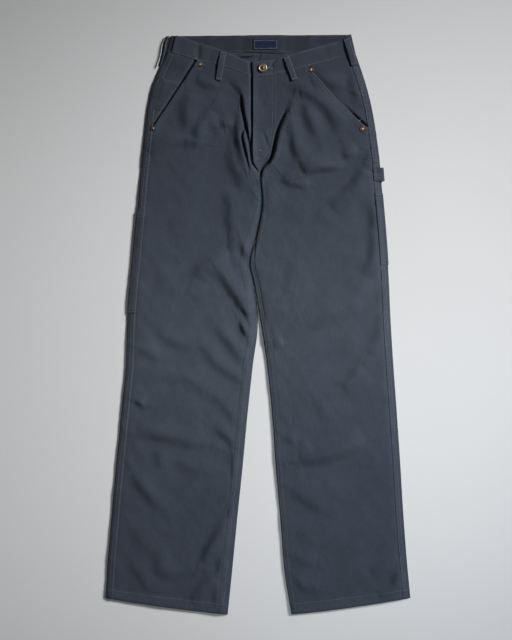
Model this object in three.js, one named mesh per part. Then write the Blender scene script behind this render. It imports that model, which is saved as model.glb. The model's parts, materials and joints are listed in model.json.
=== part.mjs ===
import * as THREE from 'three';

// Carpenter pants lying face up on a flat surface, in millimetres, with the waist towards +Y.
// Right and left are the wearer's own, so the right leg lies on the -X side.

// Cloth and seams
const CLOTH = 1.5; // one layer of cotton twill
const HEM_CLOTH = 2.4; // the turned-up hem
const HEM_DEPTH = 20;
const BAND_CLOTH = 2.4; // the waistband, doubled over
const GAP = 0.3; // between two pieces sewn together
const LEG_GAP = 1; // between the inner folds of the two legs
const SEAM_INSET = 15; // from the outer fold in to the felled side seam
const BAND_SEAM_INSET = 10;

// Heights of the top faces above the surface
const LEG_HEIGHT = 6.4;
const WAIST_HEIGHT = 5.9; // where the fronts tuck in under the waistband
const BAND_HEIGHT = 8.7;
const HIDDEN_HEIGHT = 3.6; // cloth that lies under another front piece
const HIDDEN_BAND_HEIGHT = 5.7;
const LOWEST_FOLD = 5.6;
const POCKET_LIFT = CLOTH + GAP; // how far a pocket lifts the back panel off the surface

// Small parts
const FLY_UNDERLAP = 28;
const LOOP_WIDTH = 12;
const LOOP_CLOTH = 1.7;
const LABEL_CLOTH = 1;
const LABEL_WIDTH = 48.4;
const LABEL_HEIGHT = 19.5;
const LABEL_PLACE = [14.5, 545];
const COIN_POCKET_CLOTH = 1;
const BUTTON_DIAMETER = 16.5;
const BUTTON_HEIGHT = 3;
const BUTTON_PLACE = [9, 498.5];
const BUTTON_HOLLOW = 0.42; // share of the radius that the copper centre fills
const RIVET_DIAMETER = 9.5;
const RIVET_HEIGHT = 1.6;

// Grid steps
const FRONT_CELLS = 14;
const ARC_CELLS = 4;
const BAND_CELLS = 2;
const ROUND_SIDES = 24;
const FOLD_STEPS = 12; // places tried for the nearest point of a fold
const SOLVE_STEPS = 40;

const COLOURS = {
  twill: 0x424a55,
  twillInside: 0x3b434d,
  label: 0x1d3048,
  brass: 0xb59a78,
  copper: 0x9a6a50,
};

// Stations from the hem to the waist: outer fold, then the top layer's inner edge and, where it
// differs above the crotch, the bottom layer's.
const RIGHT_STATIONS = [
  { outer: [-297, -532.5], front: [-58.5, -565] },
  { outer: [-292.5, -459], front: [-50, -482.5] },
  { outer: [-284.5, -365.5], front: [-40, -379.5] },
  { outer: [-276.5, -276], front: [-30, -283.5] },
  { outer: [-267, -178.5], front: [-20.5, -182.5] },
  { outer: [-257.5, -81], front: [-9.5, -81] },
  { outer: [-255, -3], front: [1, -3] },
  { outer: [-249.5, 75], front: [-7, 75] },
  { outer: [-244.5, 122], front: [-16, 122] },
  { outer: [-240, 172.5], front: [-3.5, 172.5] },
  { outer: [-234, 231], front: [7, 231] },
  { outer: [-229.5, 285.5], front: [4.5, 287.5] },
  { outer: [-225.5, 324.5], front: [-9.5, 321], back: [6, 324.5] },
  { outer: [-219.5, 384], front: [-9.5, 369.5], back: [7, 383] },
  { outer: [-213.5, 430], front: [-9.5, 408.5], back: [7.5, 430] },
  { outer: [-205, 473], front: [-9.5, 441.5], back: [7.5, 473] },
  { outer: [-180.5, 532], front: [-9.5, 480.5], back: [8, 529.5] },
];
const LEFT_STATIONS = [
  { outer: [297, -532.5], front: [64.5, -565] },
  { outer: [290, -459], front: [51, -478.5] },
  { outer: [283, -365.5], front: [43, -377.5] },
  { outer: [277.5, -276], front: [34.5, -282] },
  { outer: [271, -178.5], front: [27.5, -180.5] },
  { outer: [264, -81], front: [17.5, -81] },
  { outer: [259, -3], front: [6, -3] },
  { outer: [255.5, 75], front: [-7, 75] },
  { outer: [253, 122], front: [-16, 122] },
  { outer: [249.5, 172.5], front: [-3.5, 172.5] },
  { outer: [244.5, 231], front: [7, 231] },
  { outer: [239.5, 285.5], front: [4.5, 287.5] },
  { outer: [236.5, 324.5], front: [-9.5, 321], back: [6, 324.5] },
  { outer: [228.5, 384], front: [-9.5, 369.5], back: [7, 383] },
  { outer: [220, 430], front: [-9.5, 408.5], back: [7.5, 430] },
  { outer: [208.5, 473], front: [-9.5, 441.5], back: [7.5, 473] },
  { outer: [190.5, 526.5], front: [-9.5, 480.5], back: [8, 529.5] },
];

// Heights on the outer fold where something starts or ends
const CROTCH = 285.5;
const CROTCH_POINT = 272; // the inseam lips stop here
const CROTCH_DROP = 279;
const FLY_FULL = 324.5;
const POCKET_END = 384;
const RAMP = 11; // beside a pocket, down to the surface
const LONG_POCKET = { bottom: 22, top: 219 };
const SHORT_POCKET = { bottom: 116, top: 256 };
const HAMMER_LOOP = { bottom: 279, top: 305 };
const FLY_START = HAMMER_LOOP.top;
const POCKET_WIDTH = 112; // on the underside, in from the outer fold
const HAMMER_LOOP_REACH = 58;
const COIN_POCKET = { bottom: 410, top: 490 };
const FACING_REACH = 14; // how far the pocket facing goes on under the front
const FACING_OPEN = 401; // from here up the facing rises to the side seam
const FLY_SHOULDER = 14; // width over which the right front drops under the left
const INNER_INSET_CROTCH = 6; // from the inner fold in to the felled inner seam, at the crotch
const INNER_SEAM_TURN = 150; // from here up the inner seam nears the inner fold
const FLAT_EDGE = 10; // width of the flat stretch beside the centre back seam

// How the rows bend: the top layer to the waist seam, and both layers to the hem
const WAIST_BEND_START = 440;
const HEM_BEND_HEIGHT = 60;
const HEM_BOW = 9.6;
const WAIST_BLEND = 40;

// Rows of the leg grids, as heights on the outer fold
const HEM_ROWS = [-532.5, -532.5 + HEM_DEPTH];
const SHIN_ROWS = [-474, -437, -400, -362, -324, -287, -250, -212, -174, -137, -100, -62, -24];
const HIP_ROWS = [FLY_FULL, 345, 365, POCKET_END, 401, 420, 440, 460, 482, 505];
const THIGH_ROWS = [
  LONG_POCKET.bottom - RAMP, LONG_POCKET.bottom, 50, 78, SHORT_POCKET.bottom - RAMP, SHORT_POCKET.bottom,
  150, 184, LONG_POCKET.top, LONG_POCKET.top + RAMP, SHORT_POCKET.top, CROTCH_POINT, CROTCH_DROP, CROTCH,
  HAMMER_LOOP.top, HAMMER_LOOP.top + RAMP,
];
const ROWS = [...HEM_ROWS, ...SHIN_ROWS, ...THIGH_ROWS, ...HIP_ROWS];

// Lower seam of the front waistband, side to fly, and its top edge above each point
const RIGHT_BAND = [
  { seam: [-180.5, 532], edge: [-170.5, 560.5] },
  { seam: [-158, 526], edge: [-150, 560] },
  { seam: [-118, 514], edge: [-115, 547.5] },
  { seam: [-85, 506], edge: [-86, 539.5] },
  { seam: [-52.5, 497.5], edge: [-60, 529.5] },
  { seam: [-30, 489], edge: [-28, 515.5] },
  { seam: [-9.5, 480.5], edge: [-12, 511.5] },
];
const LEFT_BAND = [
  { seam: [190.5, 526.5], edge: [181.5, 565] },
  { seam: [172.5, 521.5], edge: [164, 553.5] },
  { seam: [135, 511.5], edge: [134, 545] },
  { seam: [97.5, 501.5], edge: [97, 535] },
  { seam: [60, 493], edge: [58, 523.5] },
  { seam: [20, 484], edge: [24, 514] },
  { seam: [-9.5, 480.5], edge: [-11.5, 511] },
];
const HIDDEN_BAND_END = { seam: [20, 484.5], edge: [22, 512.5] };
const BAND_BACK_MIDDLE = { seam: [8, 529.5], edge: [8, 563.5] };

// The slanted pocket openings, from the lower rivet up
const RIGHT_SLANT = [[-204.2, 384], [-118, 514]];
const LEFT_SLANT = [[213.2, 384], [199.5, 393.5], [164, 428.5], [139, 456], [97.5, 501.5]];

// The largest folds of the fronts. The cloth stands up on the side that the light comes from.
const FOLDS = [
  { from: [-35, 449], over: [-25, 408], to: [-12, 330], spread: 13, height: 2.6 },
  { from: [-26, 381], over: [-31, 363], to: [-18, 305], spread: 11, height: 2.2 },
  { from: [-62, 365], over: [-49, 299], to: [-21, 266], spread: 16, height: 1.6 },
  { from: [-55, 204], over: [-51, 141], to: [-40, 106], spread: 14, height: 1.8 },
  { from: [-80, 105], over: [-55, 68], to: [-24, 15], spread: 14, height: 3 },
  { from: [-85, -5], over: [-55, -42], to: [-32, -80], spread: 14, height: 2 },
  { from: [-195, -12], over: [-174, -34], to: [-121, -46], spread: 15, height: 1.6 },
  { from: [-211, -100], over: [-125, -116], to: [-51, -158], spread: 15, height: 1.5 },
  { from: [-236, -215], over: [-177, -224], to: [-96, -241], spread: 15, height: 2.4 },
  { from: [-246, -290], over: [-228, -319], to: [-191, -364], spread: 14, height: 2.6 },
  { from: [-249, -393], over: [-228, -430], to: [-199, -453], spread: 15, height: 2.6 },
  { from: [-190, -482], over: [-154, -491], to: [-84, -475], spread: 15, height: 2.6 },
  { from: [-63, -375], over: [-97, -430], to: [-113, -461], spread: 15, height: 1.6 },
  { from: [54, 422], over: [38, 377], to: [14, 305], spread: 13, height: 3 },
  { from: [62, 402], over: [66, 355], to: [76, 322], spread: 14, height: 1.4 },
  { from: [86, 436], over: [98, 388], to: [113, 359], spread: 15, height: 1.4 },
  { from: [90, 289], over: [119, 299], to: [166, 301], spread: 16, height: 1.4 },
  { from: [201, 305], over: [183, 272], to: [136, 235], spread: 17, height: 1.5 },
  { from: [220, 190], over: [218, 150], to: [203, 93], spread: 14, height: 1.5 },
  { from: [224, 85], over: [154, 18], to: [31, -30], spread: 18, height: 2 },
  { from: [232, 28], over: [228, -19], to: [207, -50], spread: 14, height: 1.5 },
  { from: [80, -270], over: [133, -264], to: [211, -233], spread: 16, height: 1.6 },
  { from: [60, -323], over: [88, -342], to: [125, -364], spread: 15, height: 1.6 },
  { from: [68, -453], over: [88, -471], to: [109, -478], spread: 14, height: 1.5 },
  { from: [68, -490], over: [88, -512], to: [117, -520], spread: 13, height: 2.2 },
  { from: [269, -479], over: [261, -504], to: [232, -520], spread: 13, height: 2.2 },
];
const LIGHT_SIDE = new THREE.Vector2(0.8, 0.6);

const clamp = THREE.MathUtils.clamp;
const lerp = THREE.MathUtils.lerp;
const smooth = THREE.MathUtils.smoothstep;
const mix = (a, b, f) => [lerp(a[0], b[0], f), lerp(a[1], b[1], f)];
const distance = (a, b) => Math.hypot(b[0] - a[0], b[1] - a[1]);

// Smooth curve through a list of points, with its place t counted in points
function curveAt(points, t) {
  const last = points.length - 1;
  const i = clamp(Math.floor(t), 0, last - 1);
  const f = t - i;
  const around = [i - 1, i, i + 1, i + 2].map((k) => points[clamp(k, 0, last)]);
  const weights = [
    0.5 * (-f * f * f + 2 * f * f - f),
    0.5 * (3 * f * f * f - 5 * f * f + 2),
    0.5 * (-3 * f * f * f + 4 * f * f + f),
    0.5 * (f * f * f - f * f),
  ];
  return [0, 1].map((axis) => around.reduce((sum, p, k) => sum + weights[k] * p[axis], 0));
}

// Point where f crosses zero between low and high
function solve(f, low, high) {
  const rising = f(high) > f(low);
  for (let step = 0; step < SOLVE_STEPS; step += 1) {
    const middle = (low + high) / 2;
    if (f(middle) > 0 === rising) high = middle;
    else low = middle;
  }
  return (low + high) / 2;
}

// Second column of the table of points, read at a place in the first
function readAt(points, x) {
  const rising = points[1][0] > points[0][0];
  const i = points.findIndex((p, k) => k > 0 && (rising ? x <= p[0] : x >= p[0]));
  const k = i < 0 ? points.length - 1 : i;
  const [a, b] = [points[k - 1], points[k]];
  return lerp(a[1], b[1], (x - a[0]) / (b[0] - a[0]));
}

// Height that one fold adds at a point: down on its shaded side and up on its lit side
function foldHeight(fold, x, y) {
  const middle = (i) => 2 * fold.over[i] - (fold.from[i] + fold.to[i]) / 2;
  const control = [middle(0), middle(1)];
  let nearest = { gap: Infinity };
  for (let i = 0; i <= FOLD_STEPS; i += 1) {
    const f = i / FOLD_STEPS;
    const point = mix(mix(fold.from, control, f), mix(control, fold.to, f), f);
    const gap = distance(point, [x, y]);
    if (gap < nearest.gap) nearest = { gap, f, point };
  }
  const legs = [mix(fold.from, control, nearest.f), mix(control, fold.to, nearest.f)];
  const ahead = mix(...legs, nearest.f + 0.01);
  const along = new THREE.Vector2(ahead[0] - nearest.point[0], ahead[1] - nearest.point[1]).normalize();
  const across = new THREE.Vector2(-along.y, along.x);
  if (across.dot(LIGHT_SIDE) < 0) across.negate();
  const side = across.dot(new THREE.Vector2(x - nearest.point[0], y - nearest.point[1]));
  const fade = Math.sin(Math.PI * clamp(0.12 + 0.76 * nearest.f, 0, 1));
  const spread = nearest.gap / fold.spread;
  return fold.height * fade * (side / fold.spread + 0.35) * Math.exp(0.5 - spread * spread);
}

// Top face of the fronts above the surface
function topHeight(x, y) {
  const band = x < 0 ? RIGHT_BAND : LEFT_BAND;
  const seam = readAt(band.map((station) => station.seam), x);
  const nearWaist = smooth(y, seam - WAIST_BLEND, seam);
  const nearFold = FOLDS.reduce((sum, fold) => sum + foldHeight(fold, x, y), 0);
  const height = Math.max(LEG_HEIGHT + nearFold, LOWEST_FOLD);
  return lerp(height, WAIST_HEIGHT, nearWaist);
}

// Closed solid between an outer and an inner grid of points
function sheetSolid(outer, inner) {
  const rows = outer.length;
  const columns = outer[0].length;
  const positions = [...outer.flat(), ...inner.flat()].flat();
  const at = (row, column, layer) => (layer * rows + row) * columns + column;
  const index = [];
  const quad = (a, b, c, d) => index.push(a, b, c, a, c, d);
  for (let r = 0; r < rows - 1; r += 1) {
    for (let c = 0; c < columns - 1; c += 1) {
      quad(at(r, c, 0), at(r, c + 1, 0), at(r + 1, c + 1, 0), at(r + 1, c, 0));
      quad(at(r, c, 1), at(r + 1, c, 1), at(r + 1, c + 1, 1), at(r, c + 1, 1));
    }
  }
  for (let c = 0; c < columns - 1; c += 1) {
    quad(at(0, c, 0), at(0, c, 1), at(0, c + 1, 1), at(0, c + 1, 0));
    quad(at(rows - 1, c, 0), at(rows - 1, c + 1, 0), at(rows - 1, c + 1, 1), at(rows - 1, c, 1));
  }
  const last = columns - 1;
  for (let r = 0; r < rows - 1; r += 1) {
    quad(at(r, 0, 0), at(r + 1, 0, 0), at(r + 1, 0, 1), at(r, 0, 1));
    quad(at(r, last, 0), at(r, last, 1), at(r + 1, last, 1), at(r + 1, last, 0));
  }
  const geometry = new THREE.BufferGeometry();
  geometry.setAttribute('position', new THREE.Float32BufferAttribute(positions, 3));
  geometry.setIndex(facingOut(positions, index));
  geometry.computeVertexNormals();
  return geometry;
}

// The triangles, turned round if the solid they bound is inside out
function facingOut(positions, index) {
  const corner = (i) => new THREE.Vector3(positions[3 * i], positions[3 * i + 1], positions[3 * i + 2]);
  let volume = 0;
  for (let i = 0; i < index.length; i += 3) {
    const [a, b, c] = [corner(index[i]), corner(index[i + 1]), corner(index[i + 2])];
    volume += a.dot(b.cross(c));
  }
  return volume > 0 ? index : index.slice().reverse();
}

const pants = new THREE.Group();

function addPiece(name, geometry, colour, finish = { roughness: 0.9, metalness: 0 }) {
  const mesh = new THREE.Mesh(geometry, new THREE.MeshStandardMaterial({ color: colour, ...finish }));
  mesh.name = name;
  pants.add(mesh);
  return mesh;
}

// One leg's rows: where its outer fold and inner edges are, and how its layers run between them
function legRows(leg) {
  const stations = leg.stations;
  const outer = stations.map((s) => s.outer);
  const front = stations.map((s) => s.front);
  const back = stations.map((s) => s.back ?? s.front);
  const top = stations.length - 1;
  return [...ROWS, outer[top][1]].map((level, number) => {
    const t = solve((place) => curveAt(outer, place)[1] - level, 0, top);
    const backEdge = curveAt(back, t);
    const frontEdge = level > CROTCH ? curveAt(front, t) : backEdge;
    return { level, number, outer: curveAt(outer, t), front: frontEdge, back: backEdge };
  });
}

// Point of a row at a distance in from the outer fold. The top layer's line bends to the waist
// seam, and both layers' lines bend to the hem.
function planPoint(leg, row, from, layer) {
  const inner = layer === 'top' ? row.front : row.back;
  const length = distance(row.outer, inner);
  const f = from / length;
  const point = mix(row.outer, inner, f);
  const waistLevel = leg.stations.at(-1).outer[1];
  const waist = layer === 'top' ? smooth(row.level, WAIST_BEND_START, waistLevel) : 0;
  const hem = 1 - smooth(row.level, HEM_ROWS[0], HEM_ROWS[0] + HEM_BEND_HEIGHT);
  const seam = leg.band.map((station) => station.seam);
  const chord = mix(seam[0], seam.at(-1), f);
  const [left, right] = [seam[0][0], seam.at(-1)[0]].sort((a, b) => a - b);
  const seamBend = readAt(seam, clamp(chord[0], left, right)) - chord[1];
  const hemBend = -HEM_BOW * f * (1 - f);
  return [point[0], point[1] + waist * seamBend + hem * hemBend];
}

const hemWall = (row) => (row.number < 2 ? HEM_CLOTH : CLOTH);

// Lift of the back panel off the surface, over a pocket or loop
function liftAt(leg, row, from) {
  const along = row.level >= leg.lift.bottom && row.level <= leg.lift.top;
  return along && from <= POCKET_WIDTH + 0.1 ? POCKET_LIFT : 0;
}

const nearCrotch = (row) => smooth(row.level, INNER_SEAM_TURN, CROTCH_POINT);
const innerInset = (leg, row) => lerp(leg.innerInset, INNER_INSET_CROTCH, nearCrotch(row));
const innerGap = (row) => lerp(LEG_GAP, GAP, nearCrotch(row)) / 2;

// Section of the back panel: top lip, outer fold, underside, inner fold, inner lip. Each entry
// gives a point at a distance proud of the panel's outer face.
function backSection(leg, row, proud) {
  const full = distance(row.outer, row.back);
  const inBody = row.level > CROTCH_DROP;
  const points = [];
  const put = (from, height, layer) => points.push([...planPoint(leg, row, from, layer), height]);
  const edgeHeight = (from) => topHeight(...planPoint(leg, row, from, 'top'));
  const lift = liftAt(leg, row, 0);
  const radius = (edgeHeight(3) - lift) / 2;
  const lip = leg.outerInset;
  put(lip, edgeHeight(lip) + proud, 'top');
  put((lip + radius) / 2, edgeHeight((lip + radius) / 2) + proud, 'top');
  for (let i = 0; i <= ARC_CELLS; i += 1) {
    const angle = Math.PI * (0.5 - i / ARC_CELLS);
    const layer = i <= ARC_CELLS / 2 ? 'top' : 'bottom';
    put(radius - (radius + proud) * Math.cos(angle), lift + radius + (radius + proud) * Math.sin(angle), layer);
  }
  const innerRadius = inBody ? 4 : (edgeHeight(full - 3)) / 2;
  const start = POCKET_WIDTH + RAMP;
  const spots = [HAMMER_LOOP_REACH, POCKET_WIDTH, start, (start + full - innerRadius) / 2];
  for (const from of spots) put(from, liftAt(leg, row, from) - proud, 'bottom');
  const edge = full - innerGap(row);
  if (inBody) {
    const flat = ARC_CELLS + 2;
    for (let i = 0; i <= flat; i += 1) put(edge - FLAT_EDGE * (1 - i / flat), -proud, 'bottom');
    return points;
  }
  const height = row.level > CROTCH_POINT ? HIDDEN_HEIGHT : edgeHeight(full - 3);
  const bend = height / 2;
  for (let i = 0; i <= ARC_CELLS; i += 1) {
    const angle = Math.PI * (i / ARC_CELLS - 0.5);
    put(edge - bend + (bend + proud) * Math.cos(angle), bend + (bend + proud) * Math.sin(angle), 'top');
  }
  const inner = innerInset(leg, row);
  const lipHeight = (from) => (row.level > CROTCH_POINT ? height : edgeHeight(from));
  const half = edge - (inner + bend) / 2;
  put(half, lipHeight(half) + proud, 'top');
  put(edge - inner, lipHeight(edge - inner) + proud, 'top');
  return points;
}

function backPanel(leg) {
  const outer = leg.grid.map((row) => backSection(leg, row, 0));
  const inner = leg.grid.map((row) => backSection(leg, row, -hemWall(row)));
  addPiece(`back_${leg.name}`, sheetSolid(outer, inner), COLOURS.twill);
}

// Distance in from the outer fold at which the front panel starts
function frontStart(leg, row) {
  if (row.level <= POCKET_END) return leg.outerInset + GAP;
  const along = (from) => {
    const [x, y] = planPoint(leg, row, from, 'top');
    return Math.abs(x) - Math.abs(readAt(leg.slant.map(([px, py]) => [py, px]), y));
  };
  return solve(along, leg.outerInset, distance(row.outer, row.front) - 60);
}

// Places of a front panel's columns on a row, in from the outer fold
function frontColumns(leg, row) {
  const start = frontStart(leg, row);
  const full = distance(row.outer, row.front) - innerGap(row);
  const inset = row.level > CROTCH_DROP ? 0 : innerInset(leg, row) + GAP;
  const end = full - inset;
  const even = Array.from({ length: FRONT_CELLS + 1 }, (_, i) => lerp(start, end, i / FRONT_CELLS));
  if (!leg.underlaps || row.level < FLY_START) return even;
  const under = row.level >= FLY_FULL ? FLY_UNDERLAP : 0;
  const shoulder = end - FLY_SHOULDER;
  const cells = FRONT_CELLS - 2;
  const shown = Array.from({ length: cells + 1 }, (_, i) => lerp(start, shoulder, i / cells));
  return [...shown, end - 2, end + under];
}

function frontPanel(leg) {
  const lay = (row, wallFaces) => frontColumns(leg, row).map((from, column) => {
    const [x, y] = planPoint(leg, row, from, 'top');
    const hidden = leg.underlaps && row.level >= FLY_START && column > FRONT_CELLS - 2;
    const height = hidden ? HIDDEN_HEIGHT : topHeight(x, y);
    const trim = row.number === leg.grid.length - 1 ? GAP : 0;
    return [x, y - trim, height - wallFaces];
  });
  const outer = leg.grid.map((row) => lay(row, 0));
  const inner = leg.grid.map((row) => lay(row, hemWall(row)));
  addPiece(`front_${leg.name}`, sheetSolid(outer, inner), COLOURS.twill);
}

// The facing shows between the side seam and the slanted opening, and goes on under the front
function facingPoint(leg, row, column, proud) {
  const open = frontStart(leg, row);
  const start = leg.outerInset + GAP;
  const end = open + FACING_REACH;
  const places = [start, lerp(start, open - 3, 0.45), lerp(start, open - 3, 0.8), open - 1, end];
  const low = row.level <= FACING_OPEN;
  const [x, y] = planPoint(leg, row, low ? lerp(start, end, column / 4) : places[column], 'top');
  const height = low || column > 2 ? HIDDEN_HEIGHT : topHeight(x, y);
  const trim = row.number === leg.grid.length - 1 ? GAP : 0;
  return [x, y - trim, height + proud];
}

function pocketFacing(leg) {
  const rows = leg.grid.filter((row) => row.level >= POCKET_END);
  const face = (proud) => rows.map((row) => [0, 1, 2, 3, 4].map((c) => facingPoint(leg, row, c, proud)));
  addPiece(`pocket_facing_${leg.name}`, sheetSolid(face(0), face(-CLOTH)), COLOURS.twill);
}

function coinPocket(leg) {
  const { bottom, top } = COIN_POCKET;
  const rows = leg.grid.filter((row) => row.level > bottom && row.level < top);
  const face = (proud) => rows.map((row) => [0, 1, 2].map((c) => facingPoint(leg, row, c, proud)));
  addPiece('coin_pocket', sheetSolid(face(GAP + COIN_POCKET_CLOTH), face(GAP)), COLOURS.twill);
}

// A piece sewn on over the outer fold, from the side seam to a column of the back panel's section
function wrappedPatch(name, leg, levels, lastColumn) {
  const rows = leg.grid.filter((row) => row.level >= levels.bottom && row.level <= levels.top);
  const face = (proud) => rows.map((row) => backSection(leg, row, proud).slice(0, lastColumn + 1));
  addPiece(name, sheetSolid(face(GAP + CLOTH), face(GAP)), COLOURS.twill);
}

// Waistband round the back: both side folds and the back, whose inside face shows
const BAND_LIFT = [
  { x: -28, lift: 0 },
  { x: -16, lift: POCKET_LIFT },
  { x: 44, lift: POCKET_LIFT },
  { x: 56, lift: 0 },
];

function bandBackSection(f, proud) {
  const ends = [RIGHT_BAND, LEFT_BAND].map((band) => {
    const fold = mix(band[0].seam, band[0].edge, f);
    const next = mix(band[1].seam, band[1].edge, f);
    const length = distance(fold, next);
    return { fold, inward: [(next[0] - fold[0]) / length, (next[1] - fold[1]) / length] };
  });
  const trim = f === 0 ? GAP : 0;
  const middle = mix(BAND_BACK_MIDDLE.seam, BAND_BACK_MIDDLE.edge, f);
  const radius = BAND_HEIGHT / 2;
  const foldPoints = (end) => {
    const inside = (from) => [0, 1].map((axis) => end.fold[axis] + end.inward[axis] * from);
    const below = (from) => mix(end.fold, middle, from / distance(end.fold, middle));
    const points = [[...inside(BAND_SEAM_INSET), BAND_HEIGHT + proud]];
    for (let i = 0; i <= ARC_CELLS; i += 1) {
      const angle = Math.PI * (0.5 - i / ARC_CELLS);
      const out = radius - (radius + proud) * Math.cos(angle);
      const place = i <= ARC_CELLS / 2 ? inside(out) : below(out);
      points.push([...place, radius + (radius + proud) * Math.sin(angle)]);
    }
    return points;
  };
  const right = foldPoints(ends[0]);
  const left = foldPoints(ends[1]).reverse();
  const span = (x) => {
    const side = x < middle[0] ? ends[0].fold : ends[1].fold;
    return lerp(middle[1], side[1], (x - middle[0]) / (side[0] - middle[0]));
  };
  const flat = [{ x: -100, lift: 0 }, ...BAND_LIFT, { x: 120, lift: 0 }];
  const under = flat.map(({ x, lift }) => [x, span(x), lift - proud]);
  return [...right, ...under, ...left].map(([x, y, z]) => [x, y + trim, z]);
}

function waistbandBack() {
  const levels = Array.from({ length: BAND_CELLS + 1 }, (_, i) => i / BAND_CELLS);
  const face = (proud) => levels.map((f) => bandBackSection(f, proud));
  addPiece('waistband_back', sheetSolid(face(0), face(-BAND_CLOTH)), COLOURS.twillInside);
}

// Front end of the waistband, from the side seam to the fly
function bandColumns(band) {
  const inside = (line) => mix(band[0][line], band[1][line],
    (BAND_SEAM_INSET + GAP) / distance(band[0][line], band[1][line]));
  return [{ seam: inside('seam'), edge: inside('edge') }, ...band.slice(1)];
}

function waistbandFront(name, columns, heights) {
  const levels = Array.from({ length: BAND_CELLS + 1 }, (_, i) => i / BAND_CELLS);
  const face = (proud) => columns.map((column, i) => levels.map((f) => {
    const [x, y] = mix(column.seam, column.edge, f);
    return [x, y, heights[i] + proud];
  }));
  addPiece(name, sheetSolid(face(0), face(-BAND_CLOTH)), COLOURS.twill);
}

function waistbandFronts() {
  const left = bandColumns(LEFT_BAND);
  waistbandFront('waistband_front_left', left, left.map(() => BAND_HEIGHT));
  const right = bandColumns(RIGHT_BAND);
  const [before, end] = right.slice(-2);
  const between = (f) => ({ seam: mix(end.seam, before.seam, f), edge: mix(end.edge, before.edge, f) });
  const columns = [...right.slice(0, -1), between(0.6), between(0.1), HIDDEN_BAND_END];
  const shown = columns.length - 2;
  const heights = columns.map((_, i) => (i < shown ? BAND_HEIGHT : HIDDEN_BAND_HEIGHT));
  waistbandFront('waistband_front_right', columns, heights);
}

// Flat strap along a path of points on its underside
function strap(name, path, width, thickness, across) {
  const face = (rise) => path.map(([x, y, z]) => [-0.5, 0.5].map((side) => [
    x + across[0] * width * side, y + across[1] * width * side, z + rise,
  ]));
  addPiece(name, sheetSolid(face(thickness), face(0)), COLOURS.twill);
}

const FRONT_LOOPS = [
  { name: 'belt_loop_front_right', top: [-67.5, 531], bottom: [-77, 475] },
  { name: 'belt_loop_front_left', top: [54.5, 520], bottom: [71.5, 475] },
  { name: 'belt_loop_side_left', top: [171, 556], bottom: [187.5, 504] },
];

function frontLoop(loop) {
  const band = loop.top[0] < 0 ? RIGHT_BAND : LEFT_BAND;
  const over = BAND_HEIGHT + GAP;
  const onFront = topHeight(...loop.bottom) + CLOTH;
  const seam = solve((f) => {
    const [x, y] = mix(loop.top, loop.bottom, f);
    return y - readAt(band.map((station) => station.seam), x);
  }, 0, 1);
  const places = [0, seam / 2, Math.min(seam + 0.12, 0.8), 0.92, 1];
  const heights = [over, over, over, onFront, onFront];
  const length = distance(loop.top, loop.bottom);
  const along = [(loop.bottom[0] - loop.top[0]) / length, (loop.bottom[1] - loop.top[1]) / length];
  const path = places.map((f, i) => [...mix(loop.top, loop.bottom, f), heights[i]]);
  strap(loop.name, path, LOOP_WIDTH, LOOP_CLOTH, [-along[1], along[0]]);
}

// The right side loop stands on its edge against the side fold. Each place gives its inner face's
// point on the fold and how far it stands out there.
const SIDE_LOOP = [
  { at: [-170.5, 560.5], clear: GAP },
  { at: [-174.5, 549], clear: 2.4 },
  { at: [-179.5, 535], clear: 3.4 },
  { at: [-187, 517], clear: 2.6 },
  { at: [-193, 503], clear: GAP },
];
const SIDE_LOOP_EDGES = [0.5, 10.5]; // heights of its lower and upper edges
const SIDE_LOOP_SLANT = 0.3; // of its outer face, up the pants

function sideLoopRight() {
  const point = ({ at: [x, y], clear }, out, z) => [x - clear - out, y + SIDE_LOOP_SLANT * out, z];
  const face = (out) => SIDE_LOOP.map((place) => SIDE_LOOP_EDGES.map((z) => point(place, out, z)));
  addPiece('belt_loop_side_right', sheetSolid(face(LOOP_CLOTH), face(0)), COLOURS.twill);
}

const BACK_LOOP_PATH = [[8, 561, 0], [8, 546, 0], [8, 531.5, 0]];

function backLoop() {
  strap('belt_loop_back', BACK_LOOP_PATH, LOOP_WIDTH, CLOTH, [1, 0]);
}

function waistLabel() {
  const base = POCKET_LIFT + BAND_CLOTH + GAP;
  const [x, y] = LABEL_PLACE;
  const ends = [y + LABEL_HEIGHT / 2, y, y - LABEL_HEIGHT / 2];
  const sides = [x - LABEL_WIDTH / 2, x + LABEL_WIDTH / 2];
  const face = (rise) => ends.map((end) => sides.map((side) => [side, end, base + rise]));
  addPiece('waist_label', sheetSolid(face(LABEL_CLOTH), face(0)), COLOURS.label);
}

// Turned metal part standing on the cloth, from its profile of radius and height
function turned(name, place, profile, colour) {
  const geometry = new THREE.LatheGeometry(profile.map(([r, z]) => new THREE.Vector2(r, z)), ROUND_SIDES);
  geometry.rotateX(Math.PI / 2);
  geometry.translate(...place);
  return addPiece(name, geometry, colour, { roughness: 0.35, metalness: 1 });
}

function waistButton() {
  const radius = BUTTON_DIAMETER / 2;
  const place = [...BUTTON_PLACE, BAND_HEIGHT + GAP];
  const hollow = radius * BUTTON_HOLLOW;
  const face = BUTTON_HEIGHT - 0.9;
  turned('waist_button', place, [
    [0, 0], [radius * 0.85, 0], [radius, 0.8], [radius, BUTTON_HEIGHT - 0.8], [radius * 0.88, BUTTON_HEIGHT],
    [radius * 0.72, BUTTON_HEIGHT], [hollow + 0.6, face], [0, face],
  ], COLOURS.brass);
  turned('waist_button_centre', [place[0], place[1], place[2] + face + GAP], [
    [0, 0], [hollow, 0], [hollow, 0.3], [hollow * 0.6, 0.8], [0, 1],
  ], COLOURS.copper);
}

const RIVETS = [
  { name: 'rivet_right_upper', at: [-113.5, 505.5] },
  { name: 'rivet_right_lower', at: [-204, 382] },
  { name: 'rivet_left_upper', at: [102.5, 495] },
  { name: 'rivet_left_lower', at: [202.5, 380.5] },
];

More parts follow.
